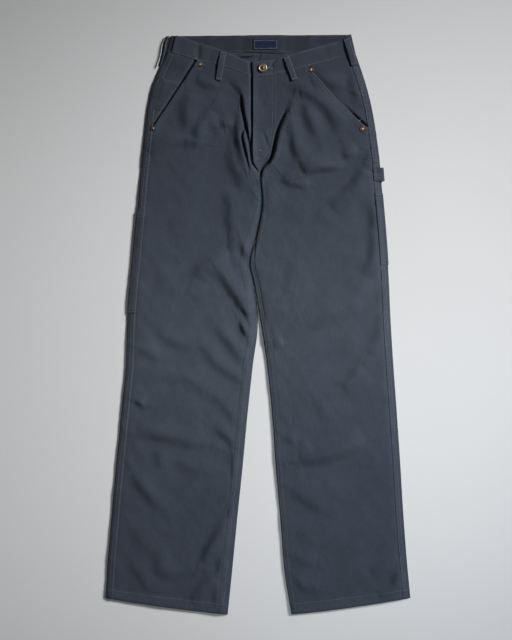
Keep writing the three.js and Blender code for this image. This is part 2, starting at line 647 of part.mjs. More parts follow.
function rivet({ name, at: [x, y] }) {
  const radius = RIVET_DIAMETER / 2;
  const around = Array.from({ length: 8 }, (_, i) => (i * Math.PI) / 4);
  const under = Math.max(...around.map((a) => topHeight(x + radius * Math.cos(a), y + radius * Math.sin(a))));
  turned(name, [x, y, under + 0.2 + GAP], [
    [0, 0], [radius, 0], [radius, 0.4], [radius * 0.8, 0.9], [radius * 0.45, 0.7],
    [radius * 0.3, RIVET_HEIGHT], [0, RIVET_HEIGHT],
  ], COLOURS.copper);
}

const RIGHT_LEG = {
  name: 'right', stations: RIGHT_STATIONS, band: RIGHT_BAND, slant: RIGHT_SLANT,
  lift: LONG_POCKET, outerInset: SEAM_INSET, innerInset: 19, underlaps: true,
};
const LEFT_LIFT = { bottom: SHORT_POCKET.bottom, top: HAMMER_LOOP.top };
const LEFT_LEG = {
  name: 'left', stations: LEFT_STATIONS, band: LEFT_BAND, slant: LEFT_SLANT,
  lift: LEFT_LIFT, outerInset: SEAM_INSET, innerInset: 11, underlaps: false,
};
const POCKET_COLUMN = ARC_CELLS + 4; // of the back panel's section, at POCKET_WIDTH
const HAMMER_COLUMN = ARC_CELLS + 3;

for (const leg of [RIGHT_LEG, LEFT_LEG]) {
  leg.grid = legRows(leg);
  backPanel(leg);
  frontPanel(leg);
  pocketFacing(leg);
}
coinPocket(RIGHT_LEG);
wrappedPatch('tool_pocket_right', RIGHT_LEG, LONG_POCKET, POCKET_COLUMN);
wrappedPatch('tool_pocket_left', LEFT_LEG, SHORT_POCKET, POCKET_COLUMN);
wrappedPatch('hammer_loop', LEFT_LEG, HAMMER_LOOP, HAMMER_COLUMN);
waistbandBack();
waistbandFronts();
FRONT_LOOPS.forEach(frontLoop);
sideLoopRight();
backLoop();
waistLabel();
waistButton();
RIVETS.forEach(rivet);

export default pants;
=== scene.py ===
"""Carpenter pants lying face up on a pale surface, seen from straight above.

Sizes are in millimetres, as on a maker's pattern, and every mesh is scaled to metres as it is made.
Right and left are the wearer's own: the right leg lies on the -X side, and the waist towards +Y.
"""
import json
import logging
import math
from dataclasses import dataclass, field
from enum import Enum

import bpy
import numpy as np
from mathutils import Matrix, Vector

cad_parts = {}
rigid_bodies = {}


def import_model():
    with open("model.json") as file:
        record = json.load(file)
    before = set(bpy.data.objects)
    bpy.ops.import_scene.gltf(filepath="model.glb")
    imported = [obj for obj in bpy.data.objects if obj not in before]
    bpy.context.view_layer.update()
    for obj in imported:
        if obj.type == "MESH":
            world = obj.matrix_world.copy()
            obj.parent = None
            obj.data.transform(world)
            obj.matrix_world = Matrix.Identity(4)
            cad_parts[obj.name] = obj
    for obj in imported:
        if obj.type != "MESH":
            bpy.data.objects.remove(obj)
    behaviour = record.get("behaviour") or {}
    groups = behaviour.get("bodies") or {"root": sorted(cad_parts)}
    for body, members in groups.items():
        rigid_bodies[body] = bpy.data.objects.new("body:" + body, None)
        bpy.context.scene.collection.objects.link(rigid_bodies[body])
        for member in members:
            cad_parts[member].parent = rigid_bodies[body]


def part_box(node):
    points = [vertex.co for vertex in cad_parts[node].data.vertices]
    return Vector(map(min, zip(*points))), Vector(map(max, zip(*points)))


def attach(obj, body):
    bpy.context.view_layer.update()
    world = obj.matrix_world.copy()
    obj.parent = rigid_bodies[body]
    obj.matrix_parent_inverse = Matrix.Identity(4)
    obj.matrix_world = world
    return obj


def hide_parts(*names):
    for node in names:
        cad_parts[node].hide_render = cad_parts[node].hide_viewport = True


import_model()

LOG = logging.getLogger("carpenter_pants")
MM = 0.001
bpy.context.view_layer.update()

# Cloth and seams
CLOTH = 1.5
HEM_CLOTH = 2.4
PATCH_CLOTH = 1.0
HEM_DEPTH = 20.0
BAND_CLOTH = 2.4
GAP = 0.3
LEG_GAP = 1.0
CLOSED_GAP = 0.06
SEAM_INSET = 15.0
BAND_SEAM_INSET = 10.0

# Heights of the top faces
LEG_HEIGHT = 6.4
WAIST_HEIGHT = 5.9
WAIST_RISE = 8.1
BAND_HEIGHT = 8.7
BAND_FOLD_HEIGHT = 6.0
HIDDEN_HEIGHT = 3.6
UNDER_HEIGHT = 2.5
HIDDEN_BAND_HEIGHT = 5.7
LOWEST_FOLD = 4.9
LOWEST_TUCK = 2.2
WAIST_COVER = 3.0
FOLD_SCALE = 3.2
LEFT_FOLD_SCALE = 4.0
TUCK_SCALE = 1.5
EDGE_DROP = 2.3
LIP_TUCK = 0.62
INNER_TUCK = 0.75
POCKET_LIFT = CLOTH + GAP
# Share of the colour taken away where the painted shade in creases and gaps is darkest.
PAINTED_CREASE_SHADE = 0.93
INSIDE_RISE = 1.2

# Places on the outer fold, measured up the pants
HEM_LEVEL = -532.5
CROTCH = 285.5
CROTCH_POINT = 272.0
CROTCH_DROP = 279.0
FLY_START = 305.0
FLY_FULL = 324.5
POCKET_END = 384.0
RAMP = 11.0
BESIDE_FLY_TOP = 476.0
LEAST_ROW_STEP = 0.75
LONG_POCKET = (22.0, 219.0)
SHORT_POCKET = (116.0, 256.0)
HAMMER_LOOP = (279.0, 305.0)
POCKET_WIDTH = 112.0
HAMMER_LOOP_REACH = 58.0
FLY_UNDERLAP = 28.0
LOOP_WIDTH = 12.0
LOOP_CLOTH = 1.7
LABEL_SPAN = (535.2, 554.7)
FACING_REACH = 14.0
HEM_BOW = 9.6
HEM_BEND_HEIGHT = 60.0
WAIST_BEND_START = 440.0
INNER_INSET_CROTCH = 6.0
INNER_SEAM_TURN = 150.0
BUTTON_RADIUS = 8.25
BUTTON_HOLLOW = 0.42
RIVET_RADIUS = 5.2
LABEL_BORDER_INSET = 2.4
STITCH_RISE = 0.12
PATH_STEP = 2.0

# Places across
FLY_EDGE = -9.5
CENTRE_BACK = 8.0
BACK_SEAM = 529.5
BACK_BAND = 34.0
BACK_LOOP_RAMPS = (-28, -16, 44, 56)
LABEL_CENTRE = 17.0

# Scale of the photograph: places in it are given in its own pixels
PHOTO_SCALE = 1.95
PHOTO_CENTRE = (258.0, 324.5)
LIGHT_SIDE = np.array([0.8, 0.6])

Points = tuple[tuple[float, float], ...]

RIGHT_STATIONS: tuple[Points, ...] = (
    ((-297, -532.5), (-58.5, -565)),
    ((-292.5, -459), (-50, -482.5)),
    ((-284.5, -365.5), (-40, -379.5)),
    ((-276.5, -276), (-30, -283.5)),
    ((-267, -178.5), (-20.5, -182.5)),
    ((-257.5, -81), (-9.5, -81)),
    ((-255, -3), (1, -3)),
    ((-249.5, 75), (-7, 75)),
    ((-244.5, 122), (-16, 122)),
    ((-240, 172.5), (-3.5, 172.5)),
    ((-234, 231), (7, 231)),
    ((-229.5, 285.5), (4.5, 287.5)),
    ((-225.5, 324.5), (-9.5, 321), (6, 324.5)),
    ((-219.5, 384), (-9.5, 369.5), (7, 383)),
    ((-213.5, 430), (-9.5, 408.5), (7.5, 430)),
    ((-202.5, 473), (-9.5, 441.5), (7.5, 473)),
    ((-177, 533), (-9.5, 480.5), (8, 529.5)),
)
LEFT_STATIONS: tuple[Points, ...] = (
    ((297, -532.5), (64.5, -565)),
    ((290, -459), (51, -478.5)),
    ((283, -365.5), (43, -377.5)),
    ((277.5, -276), (34.5, -282)),
    ((271, -178.5), (27.5, -180.5)),
    ((264, -81), (17.5, -81)),
    ((259, -3), (6, -3)),
    ((255.5, 75), (-7, 75)),
    ((253, 122), (-16, 122)),
    ((249.5, 172.5), (-3.5, 172.5)),
    ((244.5, 231), (7, 231)),
    ((239.5, 285.5), (4.5, 287.5)),
    ((236.5, 324.5), (-9.5, 321), (6, 324.5)),
    ((228.5, 384), (-9.5, 369.5), (7, 383)),
    ((220, 430), (-9.5, 408.5), (7.5, 430)),
    ((208.5, 473), (-9.5, 441.5), (7.5, 473)),
    ((190.5, 526.5), (-9.5, 480.5), (8, 529.5)),
)
# Waistband stations: lower seam, then top edge, from the side fold to the fly
RIGHT_BAND: tuple[Points, ...] = (
    ((-177, 533), (-170, 562)),
    ((-158, 526), (-150, 560)),
    ((-118, 514), (-115, 547.5)),
    ((-85, 506), (-86, 539.5)),
    ((-52.5, 497.5), (-60, 529.5)),
    ((-30, 489), (-28, 515.5)),
    ((-9.5, 480.5), (-12, 511.5)),
)
LEFT_BAND: tuple[Points, ...] = (
    ((190.5, 526.5), (181.5, 565)),
    ((172.5, 521.5), (164, 553.5)),
    ((135, 511.5), (134, 545)),
    ((97.5, 501.5), (97, 535)),
    ((60, 493), (58, 523.5)),
    ((20, 484), (24, 514)),
    ((-9.5, 480.5), (-11.5, 511)),
)
HIDDEN_BAND_END = ((20, 484.5), (22, 512.5))
RIGHT_SLANT: Points = ((-204.2, 384), (-161, 449), (-118, 514))
LEFT_SLANT: Points = ((213.2, 384), (199.5, 393.5), (164, 428.5), (139, 456), (97.5, 501.5))


def smoothstep(x: np.ndarray, low: float, high: float) -> np.ndarray:
    """Smooth rise from 0 to 1.

    Args:
        x: Where to read it.
        low: Where the rise starts.
        high: Where it ends.

    Returns:
        3f^2 - 2f^3, with f the share of the way from low to high, held between 0 and 1.
    """
    f = np.clip((np.asarray(x, dtype=float) - low) / (high - low), 0, 1)
    return f * f * (3 - 2 * f)


def bell(x: np.ndarray, width: float | np.ndarray) -> np.ndarray:
    """Bell curve: e to the power of minus the square of x over the width."""
    return np.exp(-((x / width) ** 2))


def run_along(points: np.ndarray) -> np.ndarray:
    """Distance along a polyline at each of its points: the running sum of its steps' lengths."""
    return np.concatenate([[0], np.cumsum(np.linalg.norm(np.diff(points, axis=0), axis=1))])


def points_at(points: np.ndarray, run: np.ndarray, at: np.ndarray) -> np.ndarray:
    """Points of a polyline at distances along it, between its own points on straight lines."""
    return np.stack([np.interp(at, run, column) for column in points.T], axis=1)


def catmull(points: np.ndarray, t: np.ndarray) -> np.ndarray:
    """Smooth curve through points: a cubic between each two, with the slope of its neighbours' chord.

    Args:
        points: The points, one row each.
        t: Places on the curve, counted in points.

    Returns:
        One point for each place.
    """
    points = np.asarray(points, dtype=float)
    last = len(points) - 1
    t = np.asarray(t, dtype=float)
    i = np.clip(np.floor(t).astype(int), 0, last - 1)
    f = (t - i)[..., None]
    p = [points[np.clip(i + k, 0, last)] for k in (-1, 0, 1, 2)]
    return 0.5 * (
        (-f**3 + 2 * f**2 - f) * p[0]
        + (3 * f**3 - 5 * f**2 + 2) * p[1]
        + (-3 * f**3 + 4 * f**2 + f) * p[2]
        + (f**3 - f**2) * p[3]
    )


def dense(points: Points, steps: int = 24) -> np.ndarray:
    """The smooth curve through points as a fine polyline, steps to a span."""
    count = (len(points) - 1) * steps
    return catmull(np.array(points), np.linspace(0, len(points) - 1, count + 1))


def read_at(line: np.ndarray, x: np.ndarray) -> np.ndarray:
    """Second column of a polyline, read at places in its first column."""
    order = np.argsort(line[:, 0])
    return np.interp(x, line[order, 0], line[order, 1])


def from_photo(pixels: Points) -> np.ndarray:
    """Plan points in millimetres of points in the photograph's pixels, whose y runs down."""
    p = np.array(pixels, dtype=float)
    return np.stack([(p[:, 0] - PHOTO_CENTRE[0]), (PHOTO_CENTRE[1] - p[:, 1])], axis=1) * PHOTO_SCALE


class FoldKind(Enum):
    """How the cloth stands along a fold."""

    STEP = "lower on the shaded side and higher on the lit side"
    RIDGE = "higher along the line"
    DIP = "lower along the line"
    TUCK = "a narrow crease, with the cloth beside it raised on the lit side"


@dataclass(frozen=True)
class Fold:
    """One fold of the cloth: its path in the photograph's pixels, half width, height and kind."""

    path: Points
    spread: float
    height: float
    kind: FoldKind = FoldKind.STEP

    def lift(self, x: np.ndarray, y: np.ndarray) -> np.ndarray:
        """Height that the fold adds.

        The nearest point of the path gives d, a signed distance counted in spreads, and the share of
        the path's length run so far. A step is a bell 0.7 spreads to the lit side, less 0.35 of a bell
        1.1 spreads to the shaded side. A tuck is a wide low bell on the lit side less a narrow one on
        the path. A ridge or a dip is one bell. The whole fades out towards both ends, as the sine of
        pi times the share, to the power 0.8.

        Args:
            x: Plan places across.
            y: Plan places along.

        Returns:
            Heights in millimetres, in the shape of x.
        """
        out = np.zeros_like(x)
        line = catmull(from_photo(self.path), np.linspace(0, len(self.path) - 1, 8 * len(self.path)))
        reach = 6.5 * self.spread
        near = (
            (x > line[:, 0].min() - reach) & (x < line[:, 0].max() + reach)
            & (y > line[:, 1].min() - reach) & (y < line[:, 1].max() + reach)
        )
        if not near.any():
            return out
        place = np.stack([x[near], y[near]], axis=-1)
        start, step = line[:-1], np.diff(line, axis=0)
        length2 = (step**2).sum(axis=1)
        offset = place[:, None, :] - start[None]
        f = np.clip((offset * step).sum(axis=-1) / length2, 0, 1)
        miss = offset - f[..., None] * step
        away2 = (miss**2).sum(axis=-1)
        best = away2.argmin(axis=1)
        rows = np.arange(len(place))
        run = (best + f[rows, best]) / len(step)
        chord = line[-1] - line[0]
        across = np.array([-chord[1], chord[0]])
        turn = np.sign(across @ LIGHT_SIDE) or 1.0
        local = np.stack([-step[best, 1], step[best, 0]], axis=1)
        side = np.sign((miss[rows, best] * local).sum(axis=1)) * turn
        d = side * np.sqrt(away2[rows, best]) / self.spread
        fade = np.sin(np.pi * np.clip(0.04 + 0.92 * run, 0, 1)) ** 0.8
        if self.kind is FoldKind.STEP:
            crest = bell(d - 0.7, np.where(d > 0.7, 1.6, 0.95))
            shape = crest - 0.35 * bell(d + 1.1, np.where(d < -1.1, 2.2, 0.8))
        elif self.kind is FoldKind.TUCK:
            shape = 0.55 * bell(d - 2.6, 2.4) - np.exp(-(d**2))
        else:
            shape = np.exp(-(d**2)) * (1 if self.kind is FoldKind.RIDGE else -1)
        out[near] = self.height * fade * shape
        return out


def folds_of(kind: FoldKind, rows: tuple[tuple[float, float, Points], ...]) -> list[Fold]:
    """Folds of one kind, from rows of height, spread and path."""
    return [Fold(path, spread, height, kind) for height, spread, path in rows]


def lifts(folds: list[Fold], x: np.ndarray, y: np.ndarray) -> np.ndarray:
    """Height that several folds add together at plan places."""
    return sum(fold.lift(x, y) for fold in folds)


TUCKS = folds_of(FoldKind.TUCK, (
    (4.2, 2.3, ((240.5, 96), (241.2, 104), (242.9, 114.8), (246, 129), (248.9, 142.3), (250.8, 153),
                (251.8, 160))),
    (3.6, 2.4, ((245.5, 126), (242.4, 133), (241.8, 138), (243.7, 147.4), (246.3, 158.3), (249, 171))),
    (0.5, 2.6, ((229, 85), (233, 88), (237.5, 92.5))),
    (4.5, 2.3, ((285.4, 111), (282.4, 118), (277.8, 129), (275, 140.4), (272.9, 151.9),
                (269.5, 160.8), (263.2, 167.2), (260.8, 172.3), (260.4, 178))),
    (0.8, 2.4, ((262.5, 131), (265.5, 140), (269, 149))),
    (0.5, 2.6, ((228, 448), (231, 455), (230.5, 466), (230, 478))),
    (1.5, 3.4, ((240, 309), (243.5, 314), (245.8, 320))),
    (0.9, 2.8, ((237.5, 321), (240.5, 328), (243, 333.5), (246, 338.5))),
    (1.0, 2.8, ((133, 402), (138, 404.5), (143.5, 408))),
))
# Where shade is painted into the tucks: bells along them, which darken the colour and do not shape the cloth.
PAINTED_CREASE_SHADES = folds_of(FoldKind.RIDGE, (
    (1.1, 2.3, ((241, 98), (242.4, 111), (245.2, 125), (248.7, 141), (251.3, 158))),
    (0.9, 2.5, ((243.5, 130), (241.9, 137), (243.7, 147.4), (246.3, 158.3), (249, 170))),
    (1.1, 2.3, ((281.5, 119), (278.1, 128), (275, 140.4), (272.7, 151.9), (269, 160.8), (263, 168))),
    (1.2, 2.6, ((272, 156), (265.5, 165), (261.6, 171), (260.3, 178), (260.2, 192))),
    (0.25, 3.0, ((239, 324), (241.5, 330), (245.5, 338))),
    (0.5, 3.0, ((240.5, 311), (243.8, 315.5), (245.8, 321))),
    (0.12, 3.0, ((133, 402), (138, 404.5), (143.5, 408))),
))
RIGHT_FOLDS = folds_of(FoldKind.STEP, (
    (0.8, 10.0, ((239, 86), (241, 94), (244, 108), (249, 128))),
    (1.6, 9.0, ((238, 112), (236, 130), (239, 150), (244, 168))),
    (0.4, 9.0, ((225, 71), (234, 83), (240.6, 94))),
    (1.3, 14.0, ((185, 94), (184, 115), (185, 135))),
    (1.6, 11.0, ((209, 109), (197, 128), (195, 139))),
    (0.5, 9.0, ((211, 121), (214, 129), (218, 137))),
    (0.9, 9.0, ((195.5, 83.5), (206, 86), (218, 89))),
    (1.1, 9.0, ((221, 128), (227, 127), (233, 128))),
    (1.6, 16.0, ((226, 137), (233, 171), (247, 188))),
    (1.0, 13.0, ((226, 189), (227, 210), (228, 232))),
    (1.5, 12.0, ((154, 159), (165, 150), (180, 144), (204, 145.5))),
    (0.6, 9.0, ((229.7, 220), (231.8, 252), (238, 270))),
    (1.2, 8.0, ((240, 241), (243, 251), (246.5, 260))),
    (1.8, 13.0, ((225.5, 247), (212, 258), (200, 266), (194, 277))),
    (0.6, 14.0, ((158, 258), (157, 270), (160, 283), (170, 292), (185, 296))),
    (1.6, 11.0, ((217, 270.5), (230, 289.5), (239, 304), (245.5, 317))),
    (1.3, 8.0, ((238, 321), (242, 330), (245.5, 338))),
    (0.9, 10.0, ((215, 327), (230, 346), (242, 365))),
    (0.9, 11.0, ((158, 331), (169, 342), (182, 347), (196, 348))),
    (0.9, 11.0, ((202, 346), (213, 363), (234, 378), (240, 386))),
    (0.8, 9.0, ((139, 350), (148, 355), (158, 359))),
    (0.6, 12.0, ((150, 376), (175, 380), (194, 384), (213, 399), (232, 405))),
    (1.1, 8.0, ((135, 403), (140, 406), (145.5, 407))),
    (0.5, 9.0, ((221, 405), (228, 413), (234, 422))),
    (1.4, 12.0, ((137, 435), (152, 436), (167, 439.5), (209, 448))),
    (1.0, 9.0, ((213, 429), (225, 437), (234, 446))),
    (0.4, 6.0, ((230, 450), (231, 463), (231, 477))),
    (0.6, 10.0, ((156, 450), (158, 460), (162, 471))),
    (0.7, 12.0, ((175, 463), (190, 469), (219, 473))),
    (1.1, 11.0, ((132, 473), (141, 488), (160, 511))),
    (0.9, 13.0, ((130, 526), (141, 545), (156, 557), (160, 572), (179, 576), (204, 572), (215, 568))),
    (0.7, 11.0, ((129, 561), (140, 577), (150, 593))),
    (1.9, 11.0, ((225.5, 517), (208.6, 545), (200, 561))),
    (0.8, 7.0, ((221, 555), (219, 562), (216, 570))),
    (0.6, 7.0, ((216, 583), (215, 594), (215, 604))),
    (1.6, 11.0, ((213, 574), (200, 586), (188, 597))),
))
LEFT_FOLDS = folds_of(FoldKind.STEP, (
    (1.2, 9.0, ((292, 99), (288, 112), (281, 130), (277.5, 146), (272, 160))),
    (1.2, 10.0, ((290, 118), (292, 142), (297, 159))),
    (1.2, 11.0, ((302, 101), (307, 121), (316, 140))),
    (1.2, 12.0, ((288, 87), (312, 99), (328, 114), (338, 135))),
    (1.0, 11.0, ((314, 90), (328, 85), (343, 90))),
    (0.6, 10.0, ((349, 77), (353, 92), (354, 108))),
    (1.4, 9.0, ((342, 159), (350, 157), (359, 152))),
    (2.3, 12.0, ((304, 176), (319, 171), (343, 170))),
    (0.9, 9.0, ((281.5, 176), (290, 185), (309, 187))),
    (1.8, 17.0, ((361, 168), (352, 185), (328, 204))),
    (0.7, 10.0, ((369, 206), (371, 219), (371, 232))),
    (0.9, 10.0, ((371, 230), (371, 248), (369, 262), (362, 277))),
    (1.8, 18.0, ((373, 281), (358, 304), (337, 315), (314, 325), (274, 340))),
    (0.7, 9.0, ((274, 348), (279, 347), (284, 346))),
    (0.4, 12.0, ((293, 260), (289, 276), (284, 292))),
    (0.6, 12.0, ((377, 310), (375, 334), (364, 350))),
    (1.1, 12.0, ((360, 365), (350, 375), (339, 384))),
    (0.5, 10.0, ((316, 405), (320, 411), (325, 416))),
    (0.7, 9.0, ((284, 437), (290, 441), (297, 444))),
    (2.3, 14.0, ((299, 463), (326, 460), (348, 452), (366, 444))),
    (0.6, 12.0, ((337, 471), (360, 467), (383, 463))),
    (0.8, 13.0, ((289, 490), (303, 500), (322, 511))),
    (0.4, 12.0, ((297, 528), (306, 539), (316, 549))),
    (0.6, 11.0, ((293, 557), (303, 562), (314, 566))),
    (0.7, 9.0, ((293, 576), (303, 587), (318, 591))),
    (1.4, 9.0, ((396, 570), (392, 583), (377, 591))),
    (1.0, 12.0, ((394, 551), (382, 561), (369, 570))),
))
BAND_FOLDS = folds_of(FoldKind.DIP, (
    (2.4, 5.0, ((199, 45), (198.4, 53), (197.5, 61))),
    (2.2, 3.0, ((278, 58), (273.8, 62), (271.8, 66.5), (271.6, 71))),
    (0.5, 5.0, ((238, 57), (236, 63), (233, 70))),
    (0.5, 6.0, ((325, 46), (327, 53), (328, 60))),
    (0.5, 5.0, ((213, 48), (211, 56), (209, 63))),
))
# Upright ripples of the band's inside: pixel across, height, spread
INSIDE_RIPPLES = (
    (209, 1.4, 7), (223, -0.8, 7), (235, 1.1, 8), (280, 0.9, 8), (295, -0.8, 7), (309, 1.3, 7),
    (321, -0.8, 6),
)
INSIDE_FOLDS = folds_of(FoldKind.RIDGE, (
    (4.0, 1.5, ((240.5, 56.6), (248, 56.2), (257, 54.8))),
    (0.9, 4.0, ((231, 51), (234, 56), (240, 62))),
    (0.8, 4.0, ((286, 52), (283, 57), (276, 62))),
)) + [Fold(((262.8, 49), (261, 56), (258.4, 62)), 2.2, 0.8, FoldKind.STEP)]


class Crumple:
    """Small unevenness of washed cloth: a sum of waves in fixed random directions and phases."""

    def __init__(self, seed: int, shortest: float, longest: float, height: float, count: int = 28) -> None:
        """Draws the waves.

        Args:
            seed: Seed of the draws.
            shortest: Shortest wavelength.
            longest: Longest wavelength.
            height: Typical height of the sum.
            count: How many waves.
        """
        draw = np.random.default_rng(seed)
        self.length = np.exp(draw.uniform(math.log(shortest), math.log(longest), count))
        turn = draw.uniform(0, math.pi, count)
        self.wave = np.stack([np.cos(turn), np.sin(turn)], axis=1) * (2 * math.pi / self.length)[:, None]
        self.phase = draw.uniform(0, 2 * math.pi, count)
        weight = self.length**0.8
        self.weight = weight * height * math.sqrt(2 / (weight**2).sum())

    def __call__(self, x: np.ndarray, y: np.ndarray) -> np.ndarray:
        """Sum of weight times the sine of wave . (x, y) + phase, over the waves."""
        total = np.zeros_like(x, dtype=float)
        for wave, phase, weight in zip(self.wave, self.phase, self.weight):
            total += weight * np.sin(wave[0] * x + wave[1] * y + phase)
        return total


def held_above(height: np.ndarray, lowest: float, softness: float) -> np.ndarray:
    """Heights held above a soft floor, so that folds flatten there without an edge.

    Args:
        height: Heights.
        lowest: The floor.
        softness: Height above the floor over which it is felt.

    Returns:
        The floor plus softness times the log of 1 plus e to the power of h, with h the height above
        the floor over the softness.
    """
    return lowest + softness * np.logaddexp(0, (height - lowest) / softness)


class Relief:
    """Height of the top layer of cloth over the whole pants."""

    def __init__(self) -> None:
        """Sets the folds and the crumple."""
        self.soft = Crumple(seed=5, shortest=35, longest=150, height=0.45)
        self.fine = Crumple(seed=9, shortest=9, longest=32, height=0.14)
        self.seams = {-1: dense([row[0] for row in RIGHT_BAND]), 1: dense([row[0] for row in LEFT_BAND])}

    def crease(self, x: np.ndarray, y: np.ndarray) -> np.ndarray:
        """How much painted shade the cloth gets in a tuck, from 0 to 1: a bell across each tuck, faded at its
        ends.
        """
        return np.clip(lifts(PAINTED_CREASE_SHADES, x, y), 0, 1)

    def waist_seam(self, x: np.ndarray) -> np.ndarray:
        """Where the fronts end at the waistband, along the pants, for places across."""
        return np.where(x < FLY_EDGE, read_at(self.seams[-1], x), read_at(self.seams[1], x))

    def top(self, x: np.ndarray, y: np.ndarray) -> np.ndarray:
        """Base height plus folds and crumple, held above two soft floors and level near the waist seam.

        Tucks cut through the first floor and rest on the second. Towards the waist seam all of it
        rises to one height, which drops at the seam itself to go in under the waistband.

        Args:
            x: Plan places across.
            y: Plan places along.

        Returns:
            Heights above the floor.
        """
        raised = FOLD_SCALE * lifts(RIGHT_FOLDS, x, y)
        raised = raised + LEFT_FOLD_SCALE * lifts(LEFT_FOLDS, x, y)
        height = LEG_HEIGHT + raised + self.soft(x, y) + self.fine(x, y)
        folded = held_above(height, LOWEST_FOLD, 0.4)
        tucked = held_above(folded + TUCK_SCALE * lifts(TUCKS, x, y), LOWEST_TUCK, 0.15)
        seam = self.waist_seam(x)
        near = smoothstep(y, seam - 34, seam - 7)
        beside = tucked * (1 - near) + (WAIST_RISE + 0.3 * self.fine(x, y)) * near
        under = smoothstep(y, seam - 0.7, seam)
        return beside * (1 - under) + WAIST_HEIGHT * under


RELIEF = Relief()


def band_edges(band: tuple[Points, ...], steps: int) -> list[np.ndarray]:
    """The lower and the top edge of a front end of the band, as fine polylines."""
    return [dense([row[k] for row in band], steps) for k in (0, 1)]


def band_waves(x: np.ndarray, y: np.ndarray) -> np.ndarray:
    """Height of the band's dips, and of half the soft crumple held within narrow limits."""
    return lifts(BAND_FOLDS, x, y) + np.clip(0.5 * RELIEF.soft(x * 1.7, y), -0.3, 0.4)


def back_loop_lift(x: np.ndarray) -> np.ndarray:
    """How far the band's back is raised where the back belt loop lies under it."""
    return np.interp(x, BACK_LOOP_RAMPS, [0, POCKET_LIFT, POCKET_LIFT, 0])


def pucker_wave(level: np.ndarray) -> np.ndarray:
    """Wave of the puckers along a felled seam: a sine whose phase is swayed by a slow sine."""
    return np.sin(level * 0.78 + 1.7 * np.sin(level * 0.093))


def under_lip(s: np.ndarray) -> np.ndarray:
    """Share by which cloth is tucked under the side seam's lip, at distances in from the outer fold."""
    return 1 - smoothstep(s, SEAM_INSET - 0.5, SEAM_INSET + 1.9)


def with_painted_shade(wear_and_shade: np.ndarray, painted_shade: np.ndarray) -> np.ndarray:
    """Fading and painted shade in one number: faded cloth is above 0, and where shade is painted darkest it
    falls to -1.
    """
    return wear_and_shade * (1 - painted_shade) - painted_shade


def edge_roll(
    distance: np.ndarray, width: float | np.ndarray = 1.1, drop: float | np.ndarray = 0.5,
) -> np.ndarray:
    """Drop of the cloth at its own edge: drop times the square of the share of width left."""
    return drop * np.clip(1 - distance / width, 0, 1) ** 2


def thinned(distance: np.ndarray, where: np.ndarray) -> np.ndarray:
    """Share of its thickness that cloth keeps by an edge, where told: half there, all of it 4 mm in."""
    return 1 - 0.5 * np.clip(1 - distance / 4, 0, 1) * where


def put_on_root(piece: bpy.types.Object, slot: str, *nodes: str) -> None:
    """Ties a piece to the one body, and hides the CAD nodes that it stands for."""
    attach(piece, "root")
    if nodes:
        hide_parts(*nodes)


def fill_mesh(
    name: str, points: np.ndarray, quads: np.ndarray, uv: np.ndarray | None = None,
    wear_and_shade: np.ndarray | None = None, smooth_angle: float = 50.0,
) -> bpy.types.Object:
    """Makes a mesh object of quads, all at once from arrays.

    Args:
        name: Name of the object.
        points: Vertices in millimetres.
        quads: Four vertex numbers a face.
        uv: Flat place of each vertex on its cloth, in metres.
        wear_and_shade: How much the cloth has faded at each vertex, and below 0 how much painted shade it
            gets, kept as an attribute.
        smooth_angle: Edges sharper than this stay sharp.

    Returns:
        The object, at the origin.
    """
    mesh = bpy.data.meshes.new(name)
    mesh.vertices.add(len(points))
    mesh.vertices.foreach_set("co", (np.asarray(points, dtype=np.float32) * MM).ravel())
    mesh.loops.add(quads.size)
    mesh.loops.foreach_set("vertex_index", quads.astype(np.int32).ravel())
    mesh.polygons.add(len(quads))
    mesh.polygons.foreach_set("loop_start", np.arange(0, quads.size, 4, dtype=np.int32))
    mesh.polygons.foreach_set("loop_total", np.full(len(quads), 4, dtype=np.int32))
    mesh.update(calc_edges=True)
    if uv is not None:
        layer = mesh.uv_layers.new(name="cloth")
        layer.data.foreach_set("uv", uv[quads.ravel()].astype(np.float32).ravel())
    if wear_and_shade is not None:
        attribute = mesh.attributes.new("wear_and_shade", "FLOAT", "POINT")
        attribute.data.foreach_set("value", wear_and_shade.astype(np.float32))
    mesh.validate()
    mesh.polygons.foreach_set("use_smooth", np.ones(len(mesh.polygons), dtype=bool))
    mesh.set_sharp_from_angle(angle=math.radians(smooth_angle))
    obj = bpy.data.objects.new(name, mesh)
    bpy.context.scene.collection.objects.link(obj)
    return obj


def signed_volume(points: np.ndarray, quads: np.ndarray) -> float:
    """Volume inside the quads, negative where they face inwards: a sixth of the sum of a . (b x c)."""
    a, b, c, d = (points[quads[:, k]] for k in range(4))
    return float((a * (np.cross(b, c) + np.cross(c, d))).sum() / 6)


